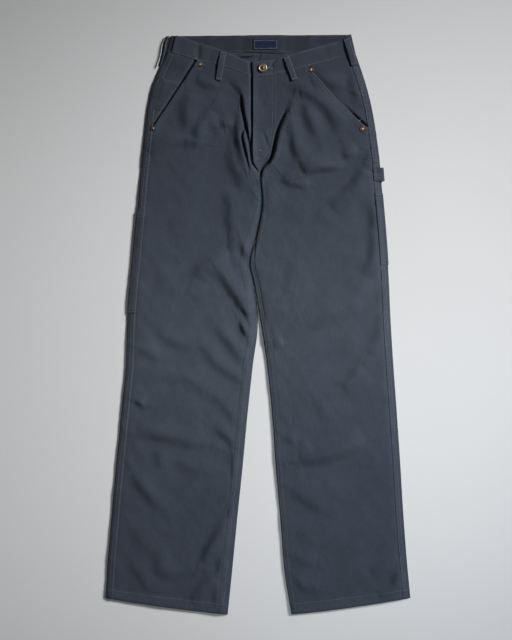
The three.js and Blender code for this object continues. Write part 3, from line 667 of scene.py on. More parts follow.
def cloth_shell(name: str, outer: np.ndarray, inner: np.ndarray, wear_and_shade: np.ndarray) -> bpy.types.Object:
    """Closed sheet of cloth between two grids of points, with its four edges walled.

    The outer grid's cells face out, the inner grid's face the other way, and a strip of quads joins
    the two along each side. The UV map is the length along the grid's middle row and column.

    Args:
        name: Name of the object.
        outer: Rows by columns by 3, the outer face.
        inner: The inner face, the same way.
        wear_and_shade: How faded each outer point is, from 0 to 1, and down to -1 where the painted shade is
            darkest.

    Returns:
        The closed mesh object.
    """
    rows, columns = outer.shape[:2]
    number = np.arange(rows * columns).reshape(rows, columns)
    back = number + rows * columns

    def strip(a: np.ndarray, b: np.ndarray) -> np.ndarray:
        """Quads between two lines of vertex numbers."""
        return np.stack([a[:-1], a[1:], b[1:], b[:-1]], axis=-1).reshape(-1, 4)

    corners = [number[:-1, :-1], number[:-1, 1:], number[1:, 1:], number[1:, :-1]]
    face = np.stack(corners, axis=-1).reshape(-1, 4)
    quads = np.concatenate([
        face,
        (face + rows * columns)[:, ::-1],
        strip(back[0], number[0]),
        strip(number[-1], back[-1]),
        strip(number[:, 0], back[:, 0]),
        strip(back[:, -1], number[:, -1]),
    ])
    points = np.concatenate([outer.reshape(-1, 3), inner.reshape(-1, 3)])
    if signed_volume(points, quads) < 0:
        quads = quads[:, ::-1]
    u = run_along(outer[rows // 2]) * MM
    v = run_along(outer[:, columns // 2]) * MM
    uv = np.stack(np.broadcast_arrays(u[None, :], v[:, None]), axis=-1).reshape(-1, 2)
    return fill_mesh(name, points, quads, np.tile(uv, (2, 1)), np.tile(wear_and_shade.ravel(), 2))


class Nodes:
    """One material and its nodes, each added together with what feeds it."""

    def __init__(self, name: str, settings: dict[str, float]) -> None:
        """Starts the material, whose shader takes the settings by name."""
        self.material = bpy.data.materials.new(name)
        self.material.use_nodes = True
        self.tree = self.material.node_tree
        self.shade(settings)

    def shade(self, inputs: dict[str, object]) -> None:
        """Gives the shader itself its inputs."""
        self.feed(self.tree.nodes["Principled BSDF"], inputs)

    def feed(self, node: bpy.types.Node, inputs: dict[str | int, object]) -> None:
        """Gives a node its inputs, by name or number: a constant, or the socket that feeds it."""
        for key, value in inputs.items():
            if isinstance(value, bpy.types.NodeSocket):
                self.tree.links.new(value, node.inputs[key])
            else:
                node.inputs[key].default_value = value

    def add(self, kind: str, inputs: dict[str | int, object], **settings: str) -> bpy.types.NodeOutputs:
        """Adds a node.

        Args:
            kind: Its type, without the start that all shader nodes share.
            inputs: What feeds it.
            settings: Its own settings.

        Returns:
            Its outputs.
        """
        node = self.tree.nodes.new(f"ShaderNode{kind}")
        for key, value in settings.items():
            setattr(node, key, value)
        self.feed(node, inputs)
        return node.outputs


@dataclass(frozen=True)
class TwillFinish:
    """Washed cotton twill: diagonal wale, slubs, mottled dye, paler where it has faded, darker where shade is
    painted into creases and gaps.
    """

    name: str
    colour: tuple[float, float, float]
    pale: tuple[float, float, float]
    roughness: float = 0.92
    wale: float = 1.25
    wale_turn: float = -64.0
    mottle: float = 0.14
    rib: float = 3.95
    grain: float = 0.12

    def material(self) -> bpy.types.Material:
        """Makes the material.

        Colour is the dye, swung by a mottle, by slubs along both threads, by the wale and by wider
        ribs, then paled where the cloth has faded, and darkened by painted shade in creases and gaps
        where the wear_and_shade attribute falls below 0. The bump adds the wale, as
        sine bands across the cloth's own map, to a fine noise of fibres and the slubs.

        Returns:
            The material, reading the piece's UV map, Object coordinates and wear_and_shade attribute.
        """
        nodes = Nodes(self.name, {
            "Roughness": self.roughness, "Specular IOR Level": 0.25,
            "Sheen Weight": 0.08, "Sheen Roughness": 0.5,
        })
        place = nodes.add("TexCoord", {})

        def mapped(source: str, scale: tuple[float, float, float], turn: float = 0.0) -> bpy.types.NodeSocket:
            """Coordinates from a source, turned and then scaled."""
            rotation = (0, 0, math.radians(turn))
            turned = nodes.add("Mapping", {"Rotation": rotation, "Vector": place[source]})["Vector"]
            return nodes.add("Mapping", {"Scale": scale, "Vector": turned})["Vector"]

        def noise(vector: bpy.types.NodeSocket, scale: float, detail: float) -> bpy.types.NodeSocket:
            """A noise texture's strength."""
            return nodes.add("TexNoise", {"Scale": scale, "Detail": detail, "Vector": vector})["Fac"]

        def maths(kind: str, a: object, b: object) -> bpy.types.NodeSocket:
            """A sum, product or the like of two numbers or sockets."""
            return nodes.add("Math", {0: a, 1: b}, operation=kind)[0]

        def bands(size: float, distortion: float, detail: float, detail_scale: float) -> bpy.types.NodeSocket:
            """Sine bands along the wale, one to each size in millimetres."""
            return nodes.add("TexWave", {
                "Scale": 2 * math.pi / (20 * size * MM), "Distortion": distortion, "Detail": detail,
                "Detail Scale": detail_scale, "Vector": mapped("UV", (1, 1, 1), self.wale_turn),
            }, bands_direction="X")["Fac"]

        def swing(source: bpy.types.NodeSocket, share: float) -> bpy.types.NodeSocket:
            """A factor from 1 less the share to 1 plus the share, as the source goes from 0 to 1."""
            return maths("ADD", maths("MULTIPLY", source, 2 * share), 1 - share)

        wale = bands(self.wale, 1.2, 1.5, 2.0)
        rib = bands(self.rib, 0.5, 1.0, 1.0)
        mottle = noise(mapped("Object", (1, 1, 1)), 22.0, 4.0)
        slub = noise(mapped("UV", (520, 60, 1)), 1.0, 2.0)
        weft = noise(mapped("UV", (70, 480, 1)), 1.0, 2.0)
        fibre = noise(mapped("Object", (1, 1, 1)), 900.0, 2.0)
        tone = swing(mottle, self.mottle)
        for source, share in ((slub, 0.17), (weft, 0.1), (wale, 0.11), (rib, self.grain)):
            tone = maths("MULTIPLY", tone, swing(source, share))
        worn_and_shaded = nodes.add("Attribute", {}, attribute_name="wear_and_shade")["Fac"]
        # Painted shade: where the attribute is below 0, in creases and gaps, the colour is darkened.
        crease = maths("MULTIPLY", maths("MINIMUM", worn_and_shaded, 0.0), PAINTED_CREASE_SHADE)
        tone = maths("MULTIPLY", tone, maths("ADD", crease, 1.0))
        pale = maths("MULTIPLY", worn_and_shaded, maths("ADD", maths("MULTIPLY", fibre, 0.8), 0.3))
        dye = nodes.add("Mix", {"A": (*self.colour, 1), "B": (*self.pale, 1), "Factor": pale},
                        data_type="RGBA")["Result"]
        weave = maths("ADD", maths("MULTIPLY", wale, 0.6), maths("MULTIPLY", fibre, 0.5))
        weave = maths("ADD", weave, maths("MULTIPLY", slub, 0.6))
        nodes.shade({
            "Base Color": nodes.add("VectorMath", {0: dye, "Scale": tone}, operation="SCALE")[0],
            "Normal": nodes.add("Bump", {"Strength": 0.55, "Distance": 0.0003, "Height": weave})["Normal"],
        })
        return nodes.material


@dataclass(frozen=True)
class MetalFinish:
    """Dulled metal trim: brushed by noise in its colour, roughness and surface."""

    name: str
    colour: tuple[float, float, float]
    dark: tuple[float, float, float]
    roughness: float = 0.38

    def material(self) -> bpy.types.Material:
        """Makes the material: colour mixed with a darker tone by noise, with a fine bump."""
        nodes = Nodes(self.name, {"Metallic": 1.0})
        place = nodes.add("TexCoord", {})["Object"]
        grain = nodes.add("TexNoise", {"Scale": 700.0, "Detail": 4.0, "Vector": place})["Fac"]
        least, most = self.roughness - 0.1, self.roughness + 0.12
        nodes.shade({
            "Base Color": nodes.add("Mix", {"A": (*self.dark, 1), "B": (*self.colour, 1), "Factor": grain},
                                    data_type="RGBA")["Result"],
            "Roughness": nodes.add("MapRange", {"To Min": least, "To Max": most, "Value": grain})["Result"],
            "Normal": nodes.add("Bump", {"Strength": 0.2, "Distance": 0.0001, "Height": grain})["Normal"],
        })
        return nodes.material


TWILL = TwillFinish("slate_twill", (0.0297, 0.0382, 0.0548), (0.066, 0.080, 0.102))
# The band's inside: the cloth's reverse face with its wale turned the other way, in a darker colour that is
# painted shade of the waist opening.
TWILL_INSIDE_SHADED = TwillFinish("slate_twill_inside_shaded", (0.0220, 0.0288, 0.0415), (0.045, 0.055, 0.072),
                           wale_turn=64.0)
THREAD = TwillFinish("slate_thread", (0.092, 0.106, 0.132), (0.12, 0.135, 0.16), wale=0.5, mottle=0.1,
                     grain=0.0)
LABEL = TwillFinish("navy_label", (0.002, 0.011, 0.036), (0.006, 0.02, 0.05), roughness=0.8, wale=0.5,
                    wale_turn=90.0, mottle=0.06, grain=0.0)
LABEL_THREAD = TwillFinish("pale_label_thread", (0.42, 0.45, 0.47), (0.5, 0.5, 0.5), wale=0.5,
                           mottle=0.06, grain=0.0)
BRASS = MetalFinish("dull_brass", (0.62, 0.50, 0.38), (0.34, 0.26, 0.19))
COPPER = MetalFinish("dull_copper", (0.40, 0.20, 0.12), (0.10, 0.05, 0.03), roughness=0.34)
DARK_COPPER = MetalFinish("dark_copper", (0.26, 0.115, 0.06), (0.06, 0.03, 0.018), roughness=0.42)
# Paler copper of the rivets' domed nibs: a painted highlight.
COPPER_PAINTED_HIGHLIGHT = MetalFinish("copper_painted_highlight", (0.62, 0.42, 0.31), (0.40, 0.23, 0.16), roughness=0.48)


@dataclass
class Rows:
    """Rows of a leg's grid: level on the outer fold and the plan points that each row runs between."""

    level: np.ndarray
    outer: np.ndarray
    front: np.ndarray
    back: np.ndarray

    def width(self, layer: str) -> np.ndarray:
        """Length of each row in plan, in the top or the bottom layer."""
        inner = self.front if layer == "top" else self.back
        return np.linalg.norm(inner - self.outer, axis=1)


@dataclass
class Leg:
    """One leg with its front, wrapped back, pocket facing and the pieces sewn over its side seam.

    Attributes:
        name: "right" or "left".
        stations: Points on the outer fold, at the front's edge and at the back's, up the leg.
        band: Stations of the waistband's front end on this side.
        slant: The pocket's slant.
        lift: Levels between which the pieces sewn on behind raise the outer fold.
        inner_inset: Distance of the inner felled seam in from the inner fold, low on the leg.
        cover_span: Levels between which the front comes to cover that seam.
        gape: How far the pocket stands open, from 0 to 1.
        underlaps: Whether the front goes on under the other at the fly.
        knee: Level where the cloth is palest and most faded.
        row_step: Distance between rows.
        wide_cells: Cells of each row over its outer part.
        close_cells: Cells of each row over its inner third.
        wall: Thickness of the cloth.
    """

    name: str
    stations: tuple[Points, ...]
    band: tuple[Points, ...]
    slant: Points
    lift: tuple[float, float]
    inner_inset: float
    cover_span: tuple[float, float]
    gape: float
    underlaps: bool
    knee: float
    row_step: float = 3.4
    wide_cells: int = 34
    close_cells: int = 46
    wall: float = 0.9

    @property
    def top_level(self) -> float:
        """Level of the waist seam on the outer fold."""
        return self.stations[-1][0][1]

    def rows(self, levels: np.ndarray) -> Rows:
        """Rows at levels on the outer fold, read from smooth curves through the stations.

        Args:
            levels: Heights along the outer fold.

        Returns:
            The rows' end points.
        """
        outer = np.array([s[0] for s in self.stations], dtype=float)
        front = np.array([s[1] for s in self.stations], dtype=float)
        back = np.array([s[-1] for s in self.stations], dtype=float)
        t = np.linspace(0, len(outer) - 1, 1600)
        place = np.interp(levels, catmull(outer, t)[:, 1], t)
        back_edge = catmull(back, place)
        front_edge = np.where((levels > CROTCH)[:, None], catmull(front, place), back_edge)
        return Rows(levels, catmull(outer, place), front_edge, back_edge)

    def levels(self, low: float = HEM_LEVEL) -> np.ndarray:
        """Row levels up to the waist, closer round the fly, at the crotch and at both ends.

        Rows closer than a least step to the last one kept are left out, apart from the hem's own.

        Args:
            low: Lowest level.

        Returns:
            The levels, rising.
        """
        top = self.top_level
        even = np.arange(low, top, self.row_step)
        beside_fly = np.arange(CROTCH_POINT - 8, BESIDE_FLY_TOP, 1.9)
        beside_fly = beside_fly[(beside_fly > low) & (beside_fly < top)]
        near_waist = np.arange(top - 16, top, 1.5)
        near_crotch = np.arange(CROTCH_POINT - 6, CROTCH + 6, 1.3)
        marks = [low + 0.4, low + 1.0, CROTCH_POINT, CROTCH_DROP, CROTCH, FLY_START, FLY_FULL, top - 0.8, top]
        every = np.unique(np.round(np.concatenate([even, beside_fly, near_waist, marks, near_crotch]), 2))
        every = every[(every >= low) & (every <= top)]
        kept = [every[0]]
        for level in every[1:-1]:
            if level - kept[-1] > LEAST_ROW_STEP or level - low < 1.2:
                kept.append(level)
        return np.array([*kept, top])

    def plan(self, rows: Rows, s: np.ndarray, layer: str) -> np.ndarray:
        """Plan points at distances in from the outer fold.

        Each row is a straight line, bent at the hem by a shallow arc and, in the top layer, towards
        the waist by the waist seam's own bow.

        Args:
            rows: The rows.
            s: Distances, rows by columns.
            layer: "top" or "bottom".

        Returns:
            Rows by columns by 2.
        """
        inner = rows.front if layer == "top" else rows.back
        f = (s / rows.width(layer)[:, None])[..., None]
        point = rows.outer[:, None] * (1 - f) + inner[:, None] * f
        f = f[..., 0]
        seam = dense([station[0] for station in self.band])
        chord = seam[0] * (1 - f[..., None]) + seam[-1] * f[..., None]
        bow = read_at(seam, chord[..., 0]) - chord[..., 1]
        waist = smoothstep(rows.level, WAIST_BEND_START, self.top_level)[:, None] if layer == "top" else 0
        hem = (1 - smoothstep(rows.level, HEM_LEVEL, HEM_LEVEL + HEM_BEND_HEIGHT))[:, None]
        y = point[..., 1] + waist * bow - HEM_BOW * hem * f * (1 - f)
        return np.stack([point[..., 0], y], axis=-1)

    def inset(self, level: np.ndarray) -> np.ndarray:
        """Distance of the inner felled seam in from the inner fold."""
        turned = smoothstep(level, INNER_SEAM_TURN, CROTCH_POINT)
        return self.inner_inset + (INNER_INSET_CROTCH - self.inner_inset) * turned

    def cover(self, level: np.ndarray) -> np.ndarray:
        """How far the front covers the inner seam: not at all low down, wholly at the crotch."""
        return smoothstep(level, *self.cover_span)

    def tuck_under(self) -> float:
        """How far a hidden edge lies below the one that covers it."""
        return self.wall + 0.1

    def gap(self, level: np.ndarray) -> np.ndarray:
        """Half the gap between the two legs' inner folds."""
        return LEG_GAP / 2 + (CLOSED_GAP - LEG_GAP / 2) * smoothstep(level, 0, 28)

    def seam_relief(self, rows: Rows, s: np.ndarray) -> np.ndarray:
        """Height that the felled seams and the hem add to the top layer.

        Each felled seam is a flat band one layer high between its two stitch rows, beside a shallow
        groove, puckered by a wave along it. The hem is a band one layer high, roped by slanting waves.

        Args:
            rows: The rows.
            s: Distances in from the outer fold, rows by columns.

        Returns:
            Heights, rows by columns.
        """
        level = rows.level[:, None]
        width = rows.width("top")[:, None]
        total = np.zeros_like(s)
        below = level <= CROTCH_DROP
        for d, shown in ((s - SEAM_INSET, True), (width - s - self.inset(rows.level)[:, None], below)):
            band = smoothstep(d, -10.5, -8) * (1 - smoothstep(d, -0.4, 0.4))
            groove = -0.2 * bell(d - 2.2, 2.6)
            pucker = 0.17 * pucker_wave(level) * bell(d + 3, 6.5)
            total += np.where(shown, 0.35 * band + groove + pucker, 0)
        up = level - HEM_LEVEL
        hem = 1 - smoothstep(up, HEM_DEPTH - 2.0, HEM_DEPTH)
        slant = np.sin((s + 0.75 * up) * 0.62 + 0.8 * np.sin(s * 0.05))
        rope = 0.28 * slant * np.sin(np.pi * np.clip(up / 17, 0, 1))
        dent = -0.4 * bell(up - HEM_DEPTH - 1.2, 2.2)
        fading = 1 - smoothstep(level, CROTCH_DROP - 30, CROTCH_DROP)
        thin = bell(s, 10) + bell(width - s, 8) * fading
        return total + 0.65 * hem + hem * rope + dent - EDGE_DROP * thin - edge_roll(up, 3.5, 1.5)

    def wear_and_shade_at(self, rows: Rows, s: np.ndarray) -> np.ndarray:
        """How faded the cloth is, above 0, with its painted shade below 0: most faded on the felled seams,
        the hem and the knee, spotted by the puckers.

        Painted shade: bells darken the right leg's outer fold, the left leg's inner fold and the hem's
        edge, which turn away from the light.

        Args:
            rows: The rows.
            s: Distances in from the outer fold, rows by columns.

        Returns:
            Fading, rows by columns, falling to -1 where the painted shade is darkest.
        """
        level = rows.level[:, None]
        width = rows.width("top")[:, None]
        spots = 0.6 + 0.4 * pucker_wave(level)
        wear_and_shade = np.zeros_like(s)
        for d in (s - SEAM_INSET, width - s - self.inset(rows.level)[:, None]):
            wear_and_shade = np.maximum(wear_and_shade, bell(d + 4, 6) * spots * 0.35)
        up = level - HEM_LEVEL
        knee = 0.5 * bell(level - self.knee, 215)
        wear_and_shade = np.maximum(wear_and_shade, (1 - smoothstep(up, 4, 22)) * 0.25) + knee
        # Painted shade: a dark band on the fold that turns away from the light, and on the hem's edge.
        if self.underlaps:
            edge = 0.6 * bell(s, 3.4)
        else:
            edge = 0.45 * bell(width - s, 2.4) * (1 - smoothstep(level, CROTCH - 8, CROTCH))
        return with_painted_shade(wear_and_shade, np.maximum(edge, 0.4 * bell(up, 2.6)))

    def wall_at(self, rows: Rows) -> np.ndarray:
        """Thickness of the cloth on each row: thicker in the hem."""
        hem = 1 - smoothstep(rows.level, HEM_LEVEL + HEM_DEPTH - 1.5, HEM_LEVEL + HEM_DEPTH + 1.5)
        return self.wall + (HEM_CLOTH - CLOTH) * hem

    def top_z(self, rows: Rows, s: np.ndarray, plan: np.ndarray) -> np.ndarray:
        """Height of the top layer at plan points: the relief with the seams and hem on it."""
        fade = 1 - smoothstep(rows.level, self.top_level - 12, self.top_level)[:, None]
        return RELIEF.top(plan[..., 0], plan[..., 1]) + self.seam_relief(rows, s) * fade

    def on_top(self, levels: np.ndarray, s: np.ndarray) -> np.ndarray:
        """Points on the top layer.

        Args:
            levels: One level for each point.
            s: Its distance in from the outer fold.

        Returns:
            One point a row.
        """
        rows = self.rows(np.asarray(levels, dtype=float))
        column = np.asarray(s, dtype=float).reshape(-1, 1)
        plan = self.plan(rows, column, "top")
        z = self.top_z(rows, column, plan)
        return np.concatenate([plan[:, 0], z], axis=1)

    def front_start(self, rows: Rows) -> np.ndarray:
        """Where the front begins on each row: at the side seam, then along the pocket's slant.

        Above the rivet the crossing of the row with the slant is found by halving an interval.

        Args:
            rows: The rows.

        Returns:
            Distances in from the outer fold.
        """
        line = dense(self.slant)[:, ::-1]
        below = SEAM_INSET - 2.5 + 2.8 * smoothstep(rows.level, POCKET_END - 10, POCKET_END)
        low = np.full(len(rows.level), SEAM_INSET + GAP)
        high = rows.width("top") - 60
        for _ in range(30):
            middle = (low + high) / 2
            plan = self.plan(rows, middle[:, None], "top")[:, 0]
            outside = np.abs(plan[:, 0]) > np.abs(read_at(line, plan[:, 1]))
            low = np.where(outside, middle, low)
            high = np.where(outside, high, middle)
        return np.where(rows.level <= POCKET_END, below, np.maximum(low, SEAM_INSET + GAP))

    def front_end(self, rows: Rows) -> np.ndarray:
        """Where the front ends on each row: over the inner seam, and at the fold itself near the crotch."""
        over = (1 - self.cover(rows.level)) * (self.inset(rows.level) - 1.5)
        return rows.width("top") - self.gap(rows.level) - over

    def make_front(self) -> None:
        """Front panel: a height field from under the side seam to the inner fold or the fly.

        Its outer edge dips under the side seam's lip, and where the panel covers the inner fold its
        edge rolls down over it. Where it goes on under the fly, its last columns step down and run on
        level. The columns lie closer together over the inner third, where the sharp creases are.
        """
        rows = self.rows(self.levels())
        level = rows.level[:, None]
        start, end = self.front_start(rows)[:, None], self.front_end(rows)[:, None]
        tail_steps = np.array([0.0, 1.4, 2.8, 4.2, 5.4, 6.4, 7.2, 7.9, 8.5, 9.0])[None]
        shoulder = end - 9
        first = start + np.array([0.0, 0.4, 1.0, 2.0, 3.2, 4.6])[None]
        bend = np.maximum(shoulder - 72, start + 30)
        wide = first[:, -1:] + (bend - first[:, -1:]) * np.linspace(0, 1, self.wide_cells)[None, 1:]
        close = bend + (shoulder - bend) * np.linspace(0, 1, self.close_cells)[None, 1:-1]
        s = np.concatenate([first, wide, close, shoulder + tail_steps], axis=1)
        if self.underlaps:
            under = FLY_UNDERLAP * np.interp(rows.level, [FLY_START, FLY_FULL], [0, 1])[:, None]
            s = np.concatenate([s, end + under * np.array([[0.5, 1.0]]) + np.array([[0.02, 0.04]])], axis=1)
        plan = self.plan(rows, s, "top")
        z = self.top_z(rows, s, plan)
        beside_slant = smoothstep(level, POCKET_END - 10, POCKET_END)
        z = z - LIP_TUCK * (1 - beside_slant) * under_lip(s)
        z = z + beside_slant * (self.gape * 1.8 * bell(s - start - 3, 7) - edge_roll(s - start))
        covered = self.cover(rows.level)[:, None] * (1 - 0.95 * smoothstep(level, CROTCH_DROP, CROTCH))
        inward = end - s
        if self.underlaps:
            dropped = np.interp(rows.level, [CROTCH, FLY_START + 8], [0, 1])[:, None] ** 2
            step = smoothstep(-inward, -8.5, -1.2) * dropped
            z = z * (1 - step) + UNDER_HEIGHT * step
            z = z - edge_roll(inward, 1.2 + 3 * covered, 0.25 + 2.0 * covered) * (1 - dropped)
        else:
            fly = smoothstep(level, FLY_START - 12, FLY_START + 10)
            z = z + 1.1 * fly * bell(inward, 9)
            covered = covered * (1 - fly)
            z = z - edge_roll(inward, 1.2 + 3 * covered, 0.25 + 2.0 * covered)
        plan[-1, :, 1] += WAIST_COVER
        z[-1] = np.minimum(z[-1], WAIST_HEIGHT)
        outer = np.concatenate([plan, z[..., None]], axis=-1)
        inner_face = outer.copy()
        inner_face[..., 2] -= self.wall_at(rows)[:, None] * thinned(np.abs(inward), level < CROTCH_POINT)
        edge = np.minimum(s - start, np.abs(inward) + 6 * (level < CROTCH))
        rubbed = 0.5 * np.exp(-np.maximum(edge, 0) / 2.2) * (level > POCKET_END)
        wear_and_shade = np.maximum(self.wear_and_shade_at(rows, s), rubbed)
        # Painted shade along the inner edge in the gap between the legs and, on the right leg, in the fly's
        # open slit; the tucks take theirs from the relief.
        closed = smoothstep(level, 0, 24) * (1 - smoothstep(level, CROTCH - 6, CROTCH + 8))
        between = 0.95 * closed * bell(inward, 3.2 - 0.9 * smoothstep(level, 50, 110))
        if self.underlaps:
            slit = 1.3 + 2.6 * smoothstep(level, 330, 470)
            open_fly = smoothstep(level, 318, 348)
            between = np.maximum(between, open_fly * bell(np.maximum(inward, 0), slit))
        wear_and_shade = with_painted_shade(wear_and_shade, np.maximum(between, RELIEF.crease(plan[..., 0], plan[..., 1])))
        piece = cloth_shell(f"front_{self.name}_twill", outer, inner_face, wear_and_shade)
        put_on_root(piece, "twill", f"front_{self.name}")

    def section(self, rows: Rows, proud: float | np.ndarray) -> tuple[np.ndarray, np.ndarray]:
        """Section of the back panel, all round the flattened leg.

        From its free edge at the side seam it runs out over the top, round a half circle at the outer
        fold, along the floor, round the inner fold and back to the inner seam, where the front covers
        it. Above the crotch the last stretch lies flat at the centre back seam.

        Args:
            rows: The rows.
            proud: How far outside the panel's outer face the points lie.

        Returns:
            Points, rows by columns by 3, and each column's distance in from the outer fold.
        """
        count = len(rows.level)
        proud = np.broadcast_to(np.asarray(proud, dtype=float), (count,))[:, None]
        width = rows.width("bottom")[:, None]
        lift = np.interp(rows.level, [self.lift[0] - RAMP, self.lift[0], self.lift[1], self.lift[1] + RAMP],
                         [0, POCKET_LIFT, POCKET_LIFT, 0])[:, None]

        def lip_height(s: np.ndarray) -> np.ndarray:
            """Height of the top layer at distances in from the outer fold."""
            return self.top_z(rows, s, self.plan(rows, s, "top"))

        least = self.wall_at(rows)[:, None] + 0.1
        radius = np.maximum((lip_height(np.full((count, 1), 3.0)) - lift) / 2, least)
        lips = SEAM_INSET - np.array([0.0, 0.4, 1.0, 2.2, 3.4, 4.8, 6.2, 7.6, 9.0])
        lips = np.repeat(lips[None], count, axis=0)
        s_lip = np.concatenate([lips, (6 + radius) / 2], axis=1)
        from_edge = SEAM_INSET - s_lip
        z_lip = lip_height(s_lip) - edge_roll(from_edge, drop=0.35) + proud * thinned(from_edge, proud < 0)
        turn = np.linspace(0.5, -0.5, 11)[None] * math.pi
        s_arc = radius - (radius + proud) * np.cos(turn)
        z_arc = lift + radius + (radius + proud) * np.sin(turn)

        cover = self.cover(rows.level)[:, None]
        flatten = np.interp(rows.level, [CROTCH_DROP, CROTCH], [0, 1])[:, None]
        edge = width - self.gap(rows.level)[:, None] - 1.2 * cover * (1 - flatten)
        inset = self.inset(rows.level)[:, None] + 2.0
        front_end = (1 - self.cover(rows.level)[:, None]) * (self.inset(rows.level)[:, None] - 1.5)
        height = np.interp(rows.level, [CROTCH_POINT, CROTCH_DROP], [0, 1])[:, None]
        inner_radius = np.maximum((lip_height(width - 3.0) - (self.tuck_under() + 0.8) * cover) / 2, least)
        bend = inner_radius * (1 - height) + HIDDEN_HEIGHT / 2 * height
        turn_in = np.linspace(-0.5, 0.5, 11)[None] * math.pi
        s_bend = edge - bend + (bend + proud) * np.cos(turn_in)
        z_bend = bend + (bend + proud) * np.sin(turn_in)
        share = np.array([0.2, 0.4, 0.55, 0.7, 0.8, 0.88, 0.94, 1.0])[None]
        s_in = edge - (bend + (inset - bend) * share)
        under = smoothstep(edge - s_in, front_end - 1.4, front_end + 0.3) * (1 - cover)
        full = lip_height(s_in) - INNER_TUCK * under - (self.tuck_under() + 0.8) * cover
        full = np.maximum(full, 2 * least)
        z_in = full * (1 - height) + HIDDEN_HEIGHT * height + proud
        wrap_s = np.concatenate([s_bend, s_in], axis=1)
        wrap_z = np.concatenate([z_bend, z_in], axis=1)
        flat_s = edge - 10 + 10 * np.linspace(0, 1, wrap_s.shape[1])[None]
        wrap_s = wrap_s * (1 - flatten) + flat_s * flatten
        wrap_z = wrap_z * (1 - flatten) - proud * flatten

        start = POCKET_WIDTH + RAMP
        out = [12.0, 25.0, 40.0, HAMMER_LOOP_REACH, 80.0, 98.0, POCKET_WIDTH - 2, POCKET_WIDTH]
        ramp = [POCKET_WIDTH + 2.7, POCKET_WIDTH + 5.5, POCKET_WIDTH + 8.2, start]
        rest = start + (wrap_s[:, :1] - start) * np.linspace(0.07, 0.93, 16)[None]
        s_flat = np.concatenate([np.repeat([[*out, *ramp]], count, axis=0), rest], axis=1)
        fall = 1 - smoothstep(s_flat, POCKET_WIDTH, start)
        z_flat = lift * fall - proud

        half = turn.shape[1] // 2 + 1
        s_top = np.concatenate([s_lip, s_arc[:, :half]], axis=1)
        s_low = np.concatenate([s_arc[:, half:], s_flat, wrap_s], axis=1)
        plan = np.concatenate([self.plan(rows, s_top, "top"), self.plan(rows, s_low, "bottom")], axis=1)
        z = np.concatenate([z_lip, z_arc, z_flat, wrap_z], axis=1)
        flat = np.zeros_like(z)
        flat[:, -(s_flat.shape[1] + wrap_s.shape[1]):] = smoothstep(rows.level, 470, 500)[:, None]
        z = z + flat * lifts(INSIDE_FOLDS, plan[..., 0], plan[..., 1])
        risen = smoothstep(rows.level, rows.level[-1] - 16, rows.level[-1] - 3)[:, None]
        z = z + (flat > 0) * INSIDE_RISE * risen
        return np.concatenate([plan, z[..., None]], axis=-1), np.concatenate([s_top, s_low], axis=1)

    def make_back(self) -> None:
        """Back panel: the section, outside and one wall further in."""
        rows = self.rows(self.levels())
        outer, s = self.section(rows, 0.0)
        inner, _ = self.section(rows, -self.wall_at(rows))
        outer[-1, :, 1] -= GAP
        inner[-1, :, 1] -= GAP
        piece = cloth_shell(f"back_{self.name}_twill", outer, inner, self.wear_and_shade_at(rows, s))
        put_on_root(piece, "twill", f"back_{self.name}")

    def facing_point(self, rows: Rows, f: np.ndarray, proud: float) -> np.ndarray:
        """Points of the pocket facing.

        Args:
            rows: The rows.
            f: Shares from the side seam (0) to the slant (1), going on to 2 under the front.
            proud: Height above the facing.

        Returns:
            Rows by columns by 3.
        """
        opening = self.front_start(rows)[:, None]
        start = SEAM_INSET - 2.5
        s = np.where(f <= 1, start + (opening - start) * f, opening + FACING_REACH * (f - 1))
        plan = self.plan(rows, s, "top")
        low = 1 - smoothstep(opening - start, 6, 14)
        gape = self.gape + (1 - self.gape) * (1 - smoothstep(rows.level[:, None], 405, 440))
        closed = self.tuck_under() * smoothstep(s, opening - 2.5, opening - 0.2)
        drop = np.maximum(smoothstep(s, opening - 9, opening - 2.0), low) * gape
        top = self.top_z(rows, s, plan) - LIP_TUCK * under_lip(s)
        z = np.minimum(top * (1 - drop) + UNDER_HEIGHT * drop, top - closed)
        return np.concatenate([plan, (z + proud)[..., None]], axis=-1)

    def make_facing(self) -> None:
        """Pocket facing between the side seam and the opening, and on under the front."""
        rows = self.rows(self.levels(POCKET_END))
        f = np.concatenate([np.linspace(0, 1, 20), np.linspace(1.1, 2, 5)])[None]
        f = np.repeat(f, len(rows.level), axis=0)
        outer = self.facing_point(rows, f, 0)
        outer[-1, :, 1] += WAIST_COVER
        outer[-1, :, 2] = np.minimum(outer[-1, :, 2], WAIST_HEIGHT)
        # Painted shade along the pocket's opening, where the facing lies under the edge of the front.
        reach = (self.front_start(rows) - SEAM_INSET)[:, None] * (1 - f)
        painted_shade = 0.95 * bell(np.maximum(reach, 0), 0.7 + 0.4 * self.gape)
        inner = outer - np.array([0, 0, self.wall])
        piece = cloth_shell(f"pocket_facing_{self.name}_twill", outer, inner, -painted_shade)
        put_on_root(piece, "twill", f"pocket_facing_{self.name}")

    def make_coin_pocket(self) -> None:
        """Coin pocket on the facing, with its doubled top edge."""
        rows = self.rows(np.linspace(420, 482, 24))
        f = np.repeat(np.linspace(0.03, 0.8, 16)[None], len(rows.level), axis=0)
        low = self.facing_point(rows, f, GAP)
        thick = 0.8 + 0.5 * smoothstep(rows.level, 472, 474)[:, None]
        high = low + np.stack([0 * thick, 0 * thick, thick], axis=-1)
        wear_and_shade = np.repeat(smoothstep(rows.level, 474, 482)[:, None] * 0.5, f.shape[1], axis=1)
        piece = cloth_shell("coin_pocket_twill", high, low, wear_and_shade)
        put_on_root(piece, "twill", "coin_pocket")

